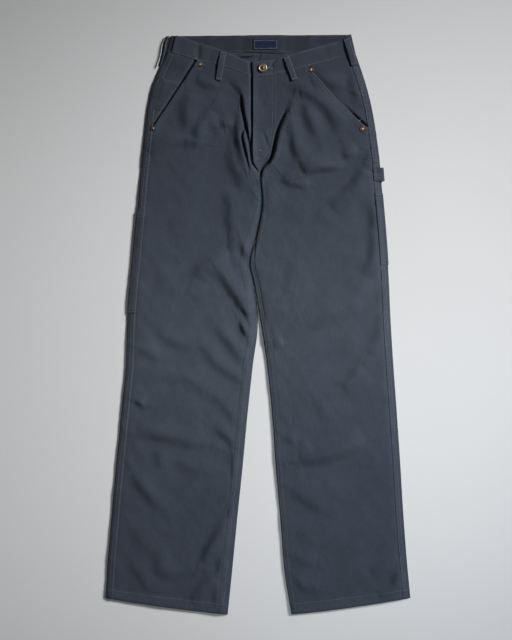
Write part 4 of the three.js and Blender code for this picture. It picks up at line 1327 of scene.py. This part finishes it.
    def make_wrapped(self, name: str, span: tuple[float, float], reach: float, stand: float = 0.0) -> None:
        """A piece sewn on over the outer fold: the back panel's own section, moved out.

        Args:
            name: Node that it stands for.
            span: Lowest and highest level.
            reach: How far in it goes on the underside.
            stand: How far it stands off the fold.
        """
        close = np.array([0, 0.6, 1.5])
        even = np.arange(span[0] + 4, span[1] - 3, 4.0)
        levels = np.concatenate([span[0] + close, even, span[1] - close[::-1]])
        rows = self.rows(levels)
        low, s = self.section(rows, 0.1)
        high, _ = self.section(rows, 0.1 + PATCH_CLOTH)
        side = np.sign(rows.outer[0, 0])
        for face in (low, high):
            face[..., 2] += 0.5 * stand * bell(s - 3, 5) * np.clip((face[..., 2] - 2) / 4, 0, 1)
            face[..., 0] += side * stand * bell(s, 9)
        z_flat = low[len(levels) // 2, :, 2] < LEG_HEIGHT / 2
        last = int(np.nonzero(z_flat & (s[0] <= reach + 0.1))[0].max())
        rim = np.minimum(rows.level - span[0], span[1] - rows.level)[:, None]
        high = low + (high - low) * (1 - edge_roll(rim, 1.5, 0.35))[..., None]
        wear_and_shade = np.maximum(0.5 * np.exp(-rim / 4), self.wear_and_shade_at(rows, s))[:, : last + 1]
        piece = cloth_shell(f"{name}_twill", high[:, : last + 1], low[:, : last + 1], wear_and_shade)
        put_on_root(piece, "twill", name)


@dataclass
class Waistband:
    """Waistband: the back with both side folds, and the two front ends."""

    cells_across: int = 14
    seam_rise: float = 0.9

    def across(self) -> np.ndarray:
        """Shares of the width, from the lower seam (0) to the top edge (1), close at both edges."""
        return np.concatenate([[0, 0.015, 0.04, 0.08], np.linspace(0.13, 0.87, self.cells_across),
                               [0.92, 0.96, 0.985, 1]])

    def relief(self, f: np.ndarray, along: np.ndarray) -> np.ndarray:
        """Height added by the band's two stitch rows, its puckers and its rolled edges.

        Args:
            f: Shares of the width.
            along: Distance along the band.

        Returns:
            Heights.
        """
        sunk = -0.35 * (bell(f - 0.09, 0.035) + bell(f - 0.91, 0.035))
        pucker = 0.16 * np.sin(along * 0.8 + 1.3 * np.sin(along * 0.11)) * np.abs(2 * f - 1) ** 2
        return sunk + pucker - edge_roll(np.minimum(f, 1 - f) * 32)

    def make_front(self, side: str, band: tuple[Points, ...]) -> None:
        """Front end of the band, along smooth curves through its stations.

        The right end steps down under the left and runs on level. Folds and crumple are added as on
        the legs.

        Args:
            side: "right" or "left".
            band: Stations from the side fold to the fly.
        """
        stations = band + (HIDDEN_BAND_END,) if side == "right" else band
        share = np.concatenate([[0, 0.002, 0.005], np.linspace(0.012, 1, 96)])
        first = BAND_SEAM_INSET + GAP
        edges = []
        for line in band_edges(stations, 30):
            run = run_along(line)
            edges.append(points_at(line, run, first + (run[-1] - first) * share))
        f = self.across()
        plan = edges[0][:, None] * (1 - f)[None, :, None] + edges[1][:, None] * f[None, :, None]
        along = np.repeat(plan[:, :1, 0], len(f), axis=1)
        z = BAND_HEIGHT + self.relief(np.repeat(f[None], len(plan), axis=0), along)
        z = z + band_waves(plan[..., 0], plan[..., 1])
        if side == "right":
            z = z + self.seam_rise * bell(np.linalg.norm(plan - plan[:1], axis=-1), 8)
            edge = FLY_EDGE - 2.5 * f
            step = smoothstep(plan[..., 0], edge[None] - 10, edge[None] - 1.5)
            z = z * (1 - step) + HIDDEN_BAND_HEIGHT * step
            # Painted shade where the right end goes in under the left end, beside the fly.
            painted_shade = bell(np.maximum(edge[None] - plan[..., 0], 0), 4.0)
        else:
            from_fly = plan[..., 0] - FLY_EDGE + 2 * f[None]
            z = z + self.seam_rise * bell(from_fly, 8) - edge_roll(from_fly, 1.6, 0.7)
            painted_shade = np.zeros_like(z)
        outer = np.concatenate([plan, z[..., None]], axis=-1)
        wear_and_shade = np.repeat((0.7 * np.exp(-f * 12) + 0.4 * np.exp(-(1 - f) * 12))[None], len(plan), axis=0)
        wear_and_shade = with_painted_shade(wear_and_shade, painted_shade)
        inner = outer - np.array([0, 0, BAND_CLOTH - 0.2])
        piece = cloth_shell(f"waistband_front_{side}_twill", outer, inner, wear_and_shade)
        put_on_root(piece, "twill", f"waistband_front_{side}")

    def back_section(self, f: np.ndarray, proud: float) -> np.ndarray:
        """The back of the band: lip, side fold, back and the other side fold, for shares of its width.

        Args:
            f: Shares of the width.
            proud: How far outside the outer face the points lie.

        Returns:
            Shares by columns by 3.
        """
        f = f[:, None]
        radius = BAND_FOLD_HEIGHT / 2
        middle = np.concatenate([CENTRE_BACK + 0 * f, BACK_SEAM + BACK_BAND * f], axis=1)
        turn = np.linspace(0.5, -0.5, 13) * math.pi
        furthest = 3 + len(turn) // 2
        trim = GAP * (1 - np.clip(f * 40, 0, 1))
        sides = []
        for band in (RIGHT_BAND, LEFT_BAND):
            fold = np.array(band[0][0]) * (1 - f) + np.array(band[0][1]) * f
            following = np.array(band[1][0]) * (1 - f) + np.array(band[1][1]) * f
            ahead = (following - fold) / np.linalg.norm(following - fold, axis=1, keepdims=True)
            below = (middle - fold) / np.linalg.norm(middle - fold, axis=1, keepdims=True)
            lip = [BAND_SEAM_INSET, BAND_SEAM_INSET - 0.7, 7.0]
            s = np.concatenate([lip, radius - (radius + proud) * np.cos(turn)])
            shelf = np.array([7.0, 7.4, 7.0]) if band is RIGHT_BAND else np.array([8.2, 8.4, 7.4])
            z = np.concatenate([shelf + proud, radius + (radius + proud) * np.sin(turn)])
            way = np.where((np.arange(len(s)) <= furthest)[None, :, None], ahead[:, None], below[:, None])
            plan = fold[:, None] + way * s[None, :, None]
            z = np.broadcast_to(z[None, :, None], (*plan.shape[:2], 1))
            sides.append(np.concatenate([plan, z], axis=-1))
        right, left = sides
        x = np.concatenate([np.linspace(-166, -32, 34), [-28, -25, -22, -19, -16], np.linspace(-10, 40, 12),
                            [44, 47, 50, 53, 56], np.linspace(60, 176, 30)])[None]
        ends = np.where(x[..., None] < CENTRE_BACK, right[:, furthest, None, :2], left[:, furthest, None, :2])
        share = (x - CENTRE_BACK) / (ends[..., 0] - CENTRE_BACK)
        y = middle[:, 1:] + (ends[..., 1] - middle[:, 1:]) * share
        x = np.repeat(x, len(f), axis=0)
        z = back_loop_lift(x) - proud
        if proud < 0:
            z = z + self.inside_ripples(x, f)
        flat = np.stack([x, y, z], axis=-1)
        section = np.concatenate([right, flat, left[:, ::-1]], axis=1)
        section[..., 1] += trim
        return section

    def inside_ripples(self, x: np.ndarray, f: np.ndarray) -> np.ndarray:
        """Soft upright ripples of the inside face where it shows, with its stitch rows sunk in.

        The ripples are bells of the heights and spreads in the table, kept off the label.

        Args:
            x: Places across.
            f: Shares of the width.

        Returns:
            Heights that the ripples add.
        """
        total = np.zeros_like(x)
        for pixel, height, spread in INSIDE_RIPPLES:
            total += height * bell(x - (pixel - PHOTO_CENTRE[0]) * PHOTO_SCALE, spread)
        free = smoothstep(np.abs(x - LABEL_CENTRE), 30, 42)
        rows = -0.3 * (bell(f - 0.09, 0.03) + bell(f - 0.91, 0.03))
        return np.maximum(total * free * (0.4 + 0.6 * f), -0.5) + rows

    def make_back(self) -> None:
        """The band round the back, whose inside face shows above the fronts."""
        f = self.across()
        outer = self.back_section(f, 0.0)
        inner = self.back_section(f, -BAND_CLOTH)
        wear_and_shade = np.repeat((0.3 * np.exp(-np.minimum(f, 1 - f) * 16))[:, None], outer.shape[1], axis=1)
        piece = cloth_shell("waistband_back_twill", outer, inner, wear_and_shade)
        put_on_root(piece, "twill", "waistband_back")
        # The inside finish is darker: painted shade of the waist opening.
        piece.data.materials.append(TWILL_SHOWN["inside"])


TWILL_SHOWN: dict[str, bpy.types.Material] = {}


@dataclass
class Stitching:
    """Rows of stitches, each a small pointed grain of thread lying on the cloth, joined in one mesh."""

    name: str
    length: float = 2.9
    pitch: float = 3.7
    width: float = 0.85
    height: float = 0.55
    places: list[np.ndarray] = field(default_factory=list)
    sizes: list[np.ndarray] = field(default_factory=list)

    def row(self, points: np.ndarray, pitch: float | None = None, length: float | None = None) -> None:
        """Adds a row along a path.

        The path's length is divided into whole pitches, and a stitch is laid at each with the path's
        own direction there.

        Args:
            points: The path on the cloth's surface.
            pitch: Distance from stitch to stitch.
            length: Length of a stitch.
        """
        pitch = pitch or self.pitch
        run = run_along(points)
        count = max(int(run[-1] / pitch), 1)
        at = (np.arange(count) + 0.5) * run[-1] / count
        way = points_at(points, run, at + 1) - points_at(points, run, at - 1)
        way /= np.maximum(np.linalg.norm(way, axis=1, keepdims=True), 1e-9)
        self.places.append(np.concatenate([points_at(points, run, at), way], axis=1))
        self.sizes.append(np.full(count, length or self.length))

    def tack(self, centre: np.ndarray, along: np.ndarray, length: float, width: float) -> None:
        """A bar tack: close stitches across a short bar.

        Args:
            centre: Middle of the bar on the cloth.
            along: Direction of the bar in plan.
            length: Length of the bar.
            width: Length of its stitches.
        """
        along = np.array([*along, 0.0]) / np.hypot(*along)
        across = np.array([-along[1], along[0], 0.0])
        at = np.arange(-length / 2, length / 2 + 0.01, 0.8)
        middle = centre[None] + at[:, None] * along + np.array([0, 0, 0.25])
        self.places.append(np.concatenate([middle, np.repeat(across[None], len(at), axis=0)], axis=1))
        self.sizes.append(np.full(len(at), width))

    def make(self, material: bpy.types.Material, slot: str = "twill") -> None:
        """Builds the mesh: a ring of six points at each third of a stitch, drawn to a point at both ends.

        Args:
            material: Finish of the thread.
            slot: Not used.
        """
        place = np.concatenate(self.places)
        size = np.concatenate(self.sizes)
        way = place[:, 3:]
        up = np.array([0, 0, 1.0])
        side = np.cross(up, way)
        side /= np.maximum(np.linalg.norm(side, axis=1, keepdims=True), 1e-9)
        normal = np.cross(way, side)
        sides = 6
        turn = np.linspace(0, 2 * math.pi, sides, endpoint=False)
        stations = ((-0.5, 0.12), (-0.3, 1.0), (0.3, 1.0), (0.5, 0.12))
        rings = []
        for along, girth in stations:
            ring = (place[:, None, :3] + (way * (along * size)[:, None])[:, None]
                    + side[:, None] * (np.cos(turn) * self.width / 2 * girth)[None, :, None]
                    + normal[:, None] * (np.sin(turn) * self.height / 2 * girth)[None, :, None])
            rings.append(ring)
        points = np.stack(rings, axis=1).reshape(-1, 3)
        k = np.arange(sides)
        after = (k + 1) % sides
        ring = np.stack([k, after, after + sides, k + sides], axis=1)
        top = (len(stations) - 1) * sides
        ends = np.array([[3, 2, 1, 0], [5, 4, 3, 0],
                         [top, top + 1, top + 2, top + 3], [top, top + 3, top + 4, top + 5]])
        one = np.concatenate([ring, ring + sides, ring + 2 * sides, ends])
        first = np.arange(len(place)) * len(stations) * sides
        quads = (one[None] + first[:, None, None]).reshape(-1, 4)
        if signed_volume(points, quads) < 0:
            quads = quads[:, ::-1]
        run = np.repeat(np.arange(len(stations)) * 0.001, sides)
        round_it = np.tile(k * 0.0005, len(stations))
        uv = np.tile(np.stack([run, round_it], axis=1), (len(place), 1))
        piece = fill_mesh(self.name, points, quads, uv, smooth_angle=70)
        piece.data.materials.append(material)
        put_on_root(piece, slot)
        LOG.info("%s: %d stitches", self.name, len(place))


def on_cloth(pixels: Points, shift: float = 0.0) -> np.ndarray:
    """Path on the top layer through points in the photograph's pixels.

    Args:
        pixels: The points.
        shift: How far the path is moved to its left.

    Returns:
        Points along the path, about PATH_STEP apart.
    """
    plan = from_photo(dense(pixels, 16))
    run = run_along(plan)
    plan = points_at(plan, run, np.linspace(0, run[-1], max(int(run[-1] / PATH_STEP), 3)))
    way = np.gradient(plan, axis=0)
    way /= np.linalg.norm(way, axis=1, keepdims=True)
    plan = plan + shift * np.stack([-way[:, 1], way[:, 0]], axis=1)
    return np.column_stack([plan, RELIEF.top(plan[:, 0], plan[:, 1])])


def spot_on_cloth(pixel: tuple[float, float]) -> np.ndarray:
    """Point on the top layer at a pixel of the photograph."""
    x, y = from_photo((pixel,)).T
    return np.concatenate([x, y, RELIEF.top(x, y)])


@dataclass
class BeltLoops:
    """Four belt loops that show, each a doubled strap with two stitch rows, and the one behind, without
    stitches.
    """

    stitching: Stitching

    def strap(self, name: str, path: np.ndarray, across: np.ndarray, width: float, thickness: float) -> None:
        """A strap along a path: its width laid across, crowned in the middle and rolled at the edges.

        Args:
            name: Node that it stands for.
            path: Points of its underside's middle line.
            across: Unit vector across the strap.
            width: Width of the strap.
            thickness: Thickness of the doubled cloth.
        """
        f = np.array([-0.5, -0.47, -0.42, -0.34, -0.2, 0, 0.2, 0.34, 0.42, 0.47, 0.5])
        line = dense([tuple(p) for p in path], 10)
        low = line[:, None] + f[None, :, None] * width * across[None, None]
        way = np.gradient(line, axis=0)
        up = np.cross(way, across[None])
        up /= np.linalg.norm(up, axis=1, keepdims=True)
        if (up[:, 2] if abs(across[2]) < 0.5 else up[:, 0] * -1).mean() < 0:
            up = -up
        crown = thickness * (1 - 0.55 * (np.abs(f) * 2) ** 8) - 0.25 * bell(np.abs(f) - 0.36, 0.05)
        high = low + up[:, None] * crown[None, :, None]
        wear_and_shade = np.repeat((0.25 + 0.4 * (np.abs(f) * 2) ** 4)[None], len(line), axis=0)
        piece = cloth_shell(f"{name}_twill", high, low, wear_and_shade)
        put_on_root(piece, "twill", name)
        piece.data.materials.append(TWILL_SHOWN["face"])
        if name == "belt_loop_back":
            return
        for side in (-0.34, 0.34):
            rise = up * (thickness - 0.12)
            self.stitching.row(line[2:-2] + side * width * across[None] + rise[2:-2], 3.4, 2.6)

    def make(self) -> None:
        """Makes all five."""
        for name, top, bottom in (
            ("belt_loop_front_right", (-67.5, 531), (-77, 475)),
            ("belt_loop_front_left", (54.5, 520), (71.5, 475)),
            ("belt_loop_side_left", (171, 556), (187.5, 504)),
        ):
            top, bottom = np.array(top, dtype=float), np.array(bottom, dtype=float)
            along = (bottom - top) / np.linalg.norm(bottom - top)
            f = np.linspace(0, 1, 400)
            plan = top + f[:, None] * (bottom - top)
            seam = f[np.argmin(np.abs(plan[:, 1] - RELIEF.waist_seam(plan[:, 0])))]
            over = BAND_HEIGHT + GAP
            down = float(RELIEF.top(bottom[:1], bottom[1:])[0]) + 1.2
            places = [0, 0.06, seam / 2, seam, min(seam + 0.1, 0.8), 0.92, 1]
            heights = [over, over + 0.2, over + 1.7, over + 1.6, over + 0.9, down + 0.2, down - 0.2]
            path = np.array([[*(top + p * (bottom - top)), h] for p, h in zip(places, heights)])
            across = np.array([-along[1], along[0], 0.0])
            self.strap(name, path, across, LOOP_WIDTH, LOOP_CLOTH)
            for end, share in ((path[0], 3.0), (path[-1], -3.0)):
                spot = np.array([*(end[:2] + along * share), end[2] + LOOP_CLOTH])
                self.stitching.tack(spot, across[:2], LOOP_WIDTH - 2, 2.2)
        side = np.array([[-176, 560.5, 4.4], [-180.2, 551, 4.4], [-183.0, 540, 4.4], [-184.6, 529, 4.5],
                         [-187.3, 517, 4.9], [-191.6, 503, 5.3]])
        lean = np.array([0.72, 0.08, 0.68])
        self.strap("belt_loop_side_right", side, lean / np.linalg.norm(lean), 9.0, LOOP_CLOTH)
        back = np.array([[CENTRE_BACK, y, 0] for y in (561, 546, 531.5)])
        self.strap("belt_loop_back", back, np.array([1.0, 0, 0]), LOOP_WIDTH, CLOTH)


@dataclass
class Trim:
    """Button, rivets and the woven label."""

    sides: int = 56

    def turned(self, name: str, node: str, profile: Points, material: bpy.types.Material, slot: str) -> None:
        """A turned piece: its profile of radius and height swept round the upright axis.

        Args:
            name: Name of the piece.
            node: CAD node that it stands for and whose place it takes.
            profile: Points from the axis at the base to the axis at the top.
            material: Its finish.
            slot: Not used.
        """
        low, high = (np.array(corner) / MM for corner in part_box(node))
        centre = (low + high) / 2
        if node.startswith("rivet"):
            low[2] = RELIEF.top(centre[:1], centre[1:2])[0] + 0.1
        line = np.array(profile, dtype=float)
        line[0, 0] = line[-1, 0] = 0.02
        turn = np.linspace(0, 2 * math.pi, self.sides, endpoint=False)
        points = np.stack([
            centre[0] + line[:, :1] * np.cos(turn), centre[1] + line[:, :1] * np.sin(turn),
            low[2] + np.repeat(line[:, 1:], self.sides, axis=1),
        ], axis=-1)
        rows = len(line)
        number = np.arange(rows * self.sides).reshape(rows, self.sides)
        following = np.roll(number, -1, axis=1)
        quads = np.stack([number[:-1], following[:-1], following[1:], number[1:]], axis=-1).reshape(-1, 4)
        half = self.sides // 2
        k = np.arange(half - 1)
        for ring, flip in ((number[0], True), (number[-1], False)):
            cap = np.stack([ring[k], ring[k + 1], ring[self.sides - 2 - k], ring[self.sides - 1 - k]], axis=1)
            quads = np.concatenate([quads, cap[:, ::-1] if flip else cap])
        points = points.reshape(-1, 3)
        if signed_volume(points, quads) < 0:
            quads = quads[:, ::-1]
        piece = fill_mesh(name, points, quads, smooth_angle=40)
        piece.data.materials.append(material)
        put_on_root(piece, slot, node)

    def make(self) -> None:
        """Makes the button in two metals and the four rivets, whose nibs take the paler copper of a painted
        highlight.
        """
        brass, copper = BRASS.material(), COPPER.material()
        ring, nib = DARK_COPPER.material(), COPPER_PAINTED_HIGHLIGHT.material()
        r = BUTTON_RADIUS
        self.turned("waist_button_ring", "waist_button", (
            (0, 0), (r * 0.8, 0), (r * 0.97, 0.5), (r, 1.2), (r, 2.1), (r * 0.96, 2.7), (r * 0.88, 3.0),
            (r * 0.78, 2.95), (r * 0.73, 2.6), (r * 0.7, 2.15), (r * 0.62, 2.05), (r * 0.54, 2.25),
            (r * 0.47, 2.3), (r * 0.43, 2.1), (0, 2.0)), brass, "brass")
        c = r * BUTTON_HOLLOW
        self.turned("waist_button_cap", "waist_button_centre", (
            (0, 0), (c, 0), (c, 0.25), (c * 0.92, 0.5), (c * 0.7, 0.75), (c * 0.55, 0.6), (c * 0.4, 0.85),
            (c * 0.2, 1.0), (0, 1.02)), copper, "copper")
        p = RIVET_RADIUS
        for node in ("rivet_right_upper", "rivet_right_lower", "rivet_left_upper", "rivet_left_lower"):
            self.turned(f"{node}_ring", node, (
                (0, 0), (p * 0.95, 0), (p, 0.2), (p * 0.97, 0.5), (p * 0.86, 0.8), (p * 0.7, 0.7),
                (p * 0.55, 0.5), (p * 0.4, 0.45), (0, 0.45)), ring, "copper")
            # The nib's paler copper is a painted highlight.
            self.turned(f"{node}_nib", node, (
                (0, 0.4), (p * 0.44, 0.4), (p * 0.43, 0.8), (p * 0.37, 1.2), (p * 0.26, 1.48),
                (p * 0.13, 1.6), (0, 1.62)), nib, "copper")

    def make_label(self, cloth: bpy.types.Material, thread: bpy.types.Material) -> None:
        """Woven label on the inside of the band: a plain field with a thin pale border.

        Args:
            cloth: Finish of the field.
            thread: Finish of the border's stitches.
        """
        low, high = (np.array(corner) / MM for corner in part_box("waist_label"))
        low[1], high[1] = LABEL_SPAN
        x = np.linspace(low[0], high[0], 50)
        y = np.linspace(low[1], high[1], 26)
        gx, gy = np.meshgrid(x, y)
        edge = np.minimum(np.minimum(gx - low[0], high[0] - gx), np.minimum(gy - low[1], high[1] - gy))
        puckers = 0.12 * np.sin(gx * 0.35) * np.sin((gy - low[1]) * 0.13)
        z = low[2] + 0.75 + puckers - edge_roll(edge, 1.0, 0.4)
        outer = np.stack([gx, gy, z], axis=-1)
        inner = outer.copy()
        inner[..., 2] = low[2]
        piece = cloth_shell("waist_label_woven", outer, inner, np.exp(-edge / 1.5) * 0.5)
        piece.data.materials.append(cloth)
        put_on_root(piece, "label", "waist_label")
        border = Stitching("waist_label_border", length=1.5, pitch=1.6, width=0.42, height=0.3)
        a, c = low[:2] + LABEL_BORDER_INSET
        b, d = high[:2] - LABEL_BORDER_INSET
        top = low[2] + 0.85
        corners = np.array([[a, c, top], [b, c, top], [b, d, top], [a, d, top], [a, c, top]])
        for start, end in zip(corners[:-1], corners[1:]):
            border.row(np.linspace(start, end, 12))
        border.make(thread, "label")


@dataclass
class Seams:
    """Every row of stitches on the pants."""

    right: Leg
    left: Leg
    thread: bpy.types.Material

    def leg_rows(self, leg: Leg) -> None:
        """Two rows on each felled seam and on the pocket's slant, and one round the hem, on one leg."""
        rows = Stitching(f"stitching_{leg.name}_leg")
        top = leg.top_level - 4
        level = np.arange(HEM_LEVEL + HEM_DEPTH, top, 3.0)
        for inward in (2.2, 8.2):
            rows.row(self.raised(leg.on_top(level, np.full(len(level), SEAM_INSET - inward))))
        level = np.arange(HEM_LEVEL + HEM_DEPTH, CROTCH_POINT - 4, 3.0)
        made = leg.rows(level)
        for inward in (2.0, 7.6):
            s = made.width("top") - leg.inset(level) + inward
            keep = leg.cover(level) < 0.12
            rows.row(self.raised(leg.on_top(level[keep], s[keep])))
        hem = HEM_LEVEL + HEM_DEPTH - 2.5
        width = float(leg.rows(np.array([hem])).width("top")[0])
        s = np.arange(4, width - 4, PATH_STEP)
        rows.row(self.raised(leg.on_top(np.full(len(s), hem), s)))
        level = np.arange(POCKET_END + 6, top, 2.0)
        made = leg.rows(level)
        for inward in (2.4, 8.4):
            rows.row(self.raised(leg.on_top(level, leg.front_start(made) + inward)))
        rows.make(self.thread)

    @staticmethod
    def raised(points: np.ndarray, rise: float = STITCH_RISE) -> np.ndarray:
        """The points, a little above the cloth."""
        return points + np.array([0, 0, rise])

    def fly_rows(self) -> None:
        """The J of the fly, its edge, the centre seam and the bar tacks of the fly and the pockets."""
        rows = Stitching("stitching_fly")
        curve = ((272.5, 79), (272.6, 105), (271.6, 128), (268, 146), (260, 158), (255, 164))
        for shift in (0.0, 6.0):
            rows.row(self.raised(on_cloth(curve, shift), 0.15))
        rows.row(self.raised(on_cloth(((254.6, 80), (254.6, 120), (254.6, 158))), 0.1))
        rows.row(self.raised(on_cloth(((255.5, 163), (258.5, 169), (261.3, 175)), -1.0), 0.15))
        for pixel, along in (((260, 151), (1.0, -0.5)), ((256, 160), (0.8, 1.0))):
            rows.tack(spot_on_cloth(pixel), along, 9, 2.4)
        for pixel in ((200.5, 69), (309.5, 73), (154.8, 121), (359.5, 121)):
            rows.tack(spot_on_cloth(pixel), (0.8, 0.6), 7, 2.2)
        rows.make(self.thread)

    def band_rows(self) -> None:
        """Stitches along both edges of the waistband's fronts, of its inside, and the buttonhole."""
        rows = Stitching("stitching_waistband")
        for band in (RIGHT_BAND, LEFT_BAND):
            low, top = band_edges(band, 20)
            for f in (0.09, 0.91):
                plan = low * (1 - f) + top * f
                keep = np.abs(plan[:, 0]) < 158
                if band is RIGHT_BAND:
                    keep &= plan[:, 0] < -20
                z = BAND_HEIGHT - 0.05 + band_waves(plan[:, 0], plan[:, 1])
                rows.row(np.column_stack([plan, z])[keep])
        for f, start, end in ((0.1, -52, 70), (0.9, -150, 160)):
            x = np.arange(start, end, 3.0)
            on_right = x < CENTRE_BACK
            folds = [band[0][0][1] * (1 - f) + band[0][1][1] * f for band in (RIGHT_BAND, LEFT_BAND)]
            middle = BACK_SEAM + BACK_BAND * f
            share = (x - CENTRE_BACK) / (np.where(on_right, -176.0, 186.0) - CENTRE_BACK)
            y = middle + (np.where(on_right, *folds) - middle) * share
            rows.row(np.stack([x, y, back_loop_lift(x) + BAND_CLOTH + 0.1], axis=1))
        hole = np.array([18.0, 498.3, BAND_HEIGHT + 0.1])
        for side in (-1, 1):
            rows.tack(hole + np.array([0, 1.2 * side, 0]), (1, -0.12), 19, 2.0)
        rows.tack(hole + np.array([10.0, -1.2, 0]), (0, 1), 3.4, 2.0)
        rows.make(self.thread)

    def pocket_rows(self) -> None:
        """Stitches on the coin pocket, the tool pockets' side edges and the hammer loop."""
        rows = Stitching("stitching_pockets")
        f = np.linspace(0.06, 0.76, 24)[None]
        for level in (478.5, 475.0):
            made = self.right.rows(np.array([level]))
            rows.row(self.right.facing_point(made, f, GAP + 1.35)[0], 3.0, 2.3)
        for leg, span, insets in (
            (self.right, LONG_POCKET, (3.0, 9.0)),
            (self.left, SHORT_POCKET, (3.0, 9.0)),
            (self.left, HAMMER_LOOP, (3.0,)),
        ):
            for inset in insets:
                for level in (span[1] - inset, span[0] + inset):
                    section, _ = leg.section(leg.rows(np.array([level])), PATCH_CLOTH + 0.15)
                    rows.row(section[0, 1:13])
        rows.make(self.thread)

    def make(self) -> None:
        """Makes them all."""
        self.leg_rows(self.right)
        self.leg_rows(self.left)
        self.fly_rows()
        self.band_rows()
        self.pocket_rows()


@dataclass
class Studio:
    """Pale floor, soft lights from the upper right, and the overhead camera."""

    height: float = 2.6
    seen: float = 640 * PHOTO_SCALE * MM
    aim: tuple[float, float] = ((256 - 258.0) * PHOTO_SCALE * MM, (324.5 - 320) * PHOTO_SCALE * MM)

    def floor(self) -> None:
        """A wide pale floor with a faint unevenness in its colour."""
        half, below = 6000.0, -0.15
        corners = ((-half, -half), (half, -half), (half, half), (-half, half))
        obj = fill_mesh("floor", np.array([(*corner, below) for corner in corners]), np.array([[0, 1, 2, 3]]))
        nodes = Nodes("pale_floor", {"Roughness": 0.85, "Specular IOR Level": 0.2})
        place = nodes.add("TexCoord", {})["Object"]
        grain = nodes.add("TexNoise", {"Scale": 3.0, "Vector": place})["Fac"]
        nodes.shade({"Base Color": nodes.add("Mix", {
            "A": (0.585, 0.59, 0.60, 1), "B": (0.615, 0.62, 0.63, 1), "Factor": grain,
        }, data_type="RGBA")["Result"]})
        obj.data.materials.append(nodes.material)

    def light(self, name: str, place: tuple[float, float, float], aim: tuple[float, float], size: float,
              power: float, colour: tuple[float, float, float]) -> bpy.types.AreaLight:
        """A square soft light, aimed at a point of the floor.

        Args:
            name: Name of the light.
            place: Where it stands, in metres.
            aim: The point of the floor.
            size: Its side, in metres.
            power: Watts.
            colour: Its colour.

        Returns:
            The light's data.
        """
        data = bpy.data.lights.new(name, "AREA")
        data.size = size
        data.energy = power
        data.color = colour
        obj = bpy.data.objects.new(name, data)
        obj.location = place
        away = np.array(place) - np.array([*aim, 0.0])
        yaw = math.atan2(away[1], away[0]) + math.pi / 2
        obj.rotation_euler = (math.atan2(math.hypot(away[0], away[1]), away[2]), 0, yaw)
        bpy.context.scene.collection.objects.link(obj)
        return data

    def make(self) -> None:
        """Makes the floor, the lights, the sky and the camera."""
        self.floor()
        key = self.light("key", (3.386, 1.842, 2.411), (-0.20, -0.02), 1.2, 13.6, (1.0, 0.995, 0.985))
        key.spread = math.radians(30.6)
        fill = self.light("fill", (0.50, -0.45, 2.77), (0.50, -0.45), 1.0, 2.45, (0.90, 0.95, 1.0))
        fill.spread = math.radians(36.9)
        world = bpy.data.worlds.new("studio")
        world.use_nodes = True
        world.node_tree.nodes["Background"].inputs["Color"].default_value = (0.87, 0.94, 1.0, 1)
        world.node_tree.nodes["Background"].inputs["Strength"].default_value = 0.0287
        bpy.context.scene.world = world
        bpy.context.scene.view_settings.view_transform = "Standard"
        data = bpy.data.cameras.new("overhead")
        data.sensor_fit = "AUTO"
        data.sensor_width = 36.0
        data.lens = 36.0 * self.height / self.seen
        camera = bpy.data.objects.new("overhead", data)
        camera.location = (*self.aim, self.height)
        bpy.context.scene.collection.objects.link(camera)
        bpy.context.scene.camera = camera


def dress(material: bpy.types.Material) -> None:
    """Gives the twill to every new cloth piece that has no finish yet."""
    for obj in bpy.context.scene.objects:
        if obj.type == "MESH" and obj.name.endswith("_twill") and not obj.data.materials:
            obj.data.materials.append(material)


def main() -> None:
    """Builds the pants piece by piece, then the studio."""
    logging.basicConfig(level=logging.INFO, format="%(message)s")
    TWILL_SHOWN["face"] = TWILL.material()
    TWILL_SHOWN["inside"] = TWILL_INSIDE_SHADED.material()
    thread = THREAD.material()
    right = Leg("right", RIGHT_STATIONS, RIGHT_BAND, RIGHT_SLANT, LONG_POCKET, inner_inset=19.0,
                cover_span=(-110.0, 20.0), gape=1.0, underlaps=True, knee=-30.0)
    left = Leg("left", LEFT_STATIONS, LEFT_BAND, LEFT_SLANT, (SHORT_POCKET[0], HAMMER_LOOP[1]),
               inner_inset=11.0, cover_span=(115.0, 175.0), gape=0.25, underlaps=False, knee=25.0)
    for leg in (right, left):
        leg.make_back()
        leg.make_front()
        leg.make_facing()
        LOG.info("%s leg made", leg.name)
    right.make_coin_pocket()
    right.make_wrapped("tool_pocket_right", LONG_POCKET, POCKET_WIDTH)
    left.make_wrapped("tool_pocket_left", SHORT_POCKET, POCKET_WIDTH)
    left.make_wrapped("hammer_loop", HAMMER_LOOP, HAMMER_LOOP_REACH, stand=5.5)
    LOG.info("pockets and hammer loop made")
    band = Waistband()
    band.make_back()
    band.make_front("right", RIGHT_BAND)
    band.make_front("left", LEFT_BAND)
    LOG.info("waistband made")
    loops = BeltLoops(Stitching("stitching_belt_loops", width=0.8))
    loops.make()
    loops.stitching.make(thread)
    trim = Trim()
    trim.make()
    trim.make_label(LABEL.material(), LABEL_THREAD.material())
    Seams(right, left, thread).make()
    dress(TWILL_SHOWN["face"])
    Studio().make()


if __name__ == "__main__":
    main()
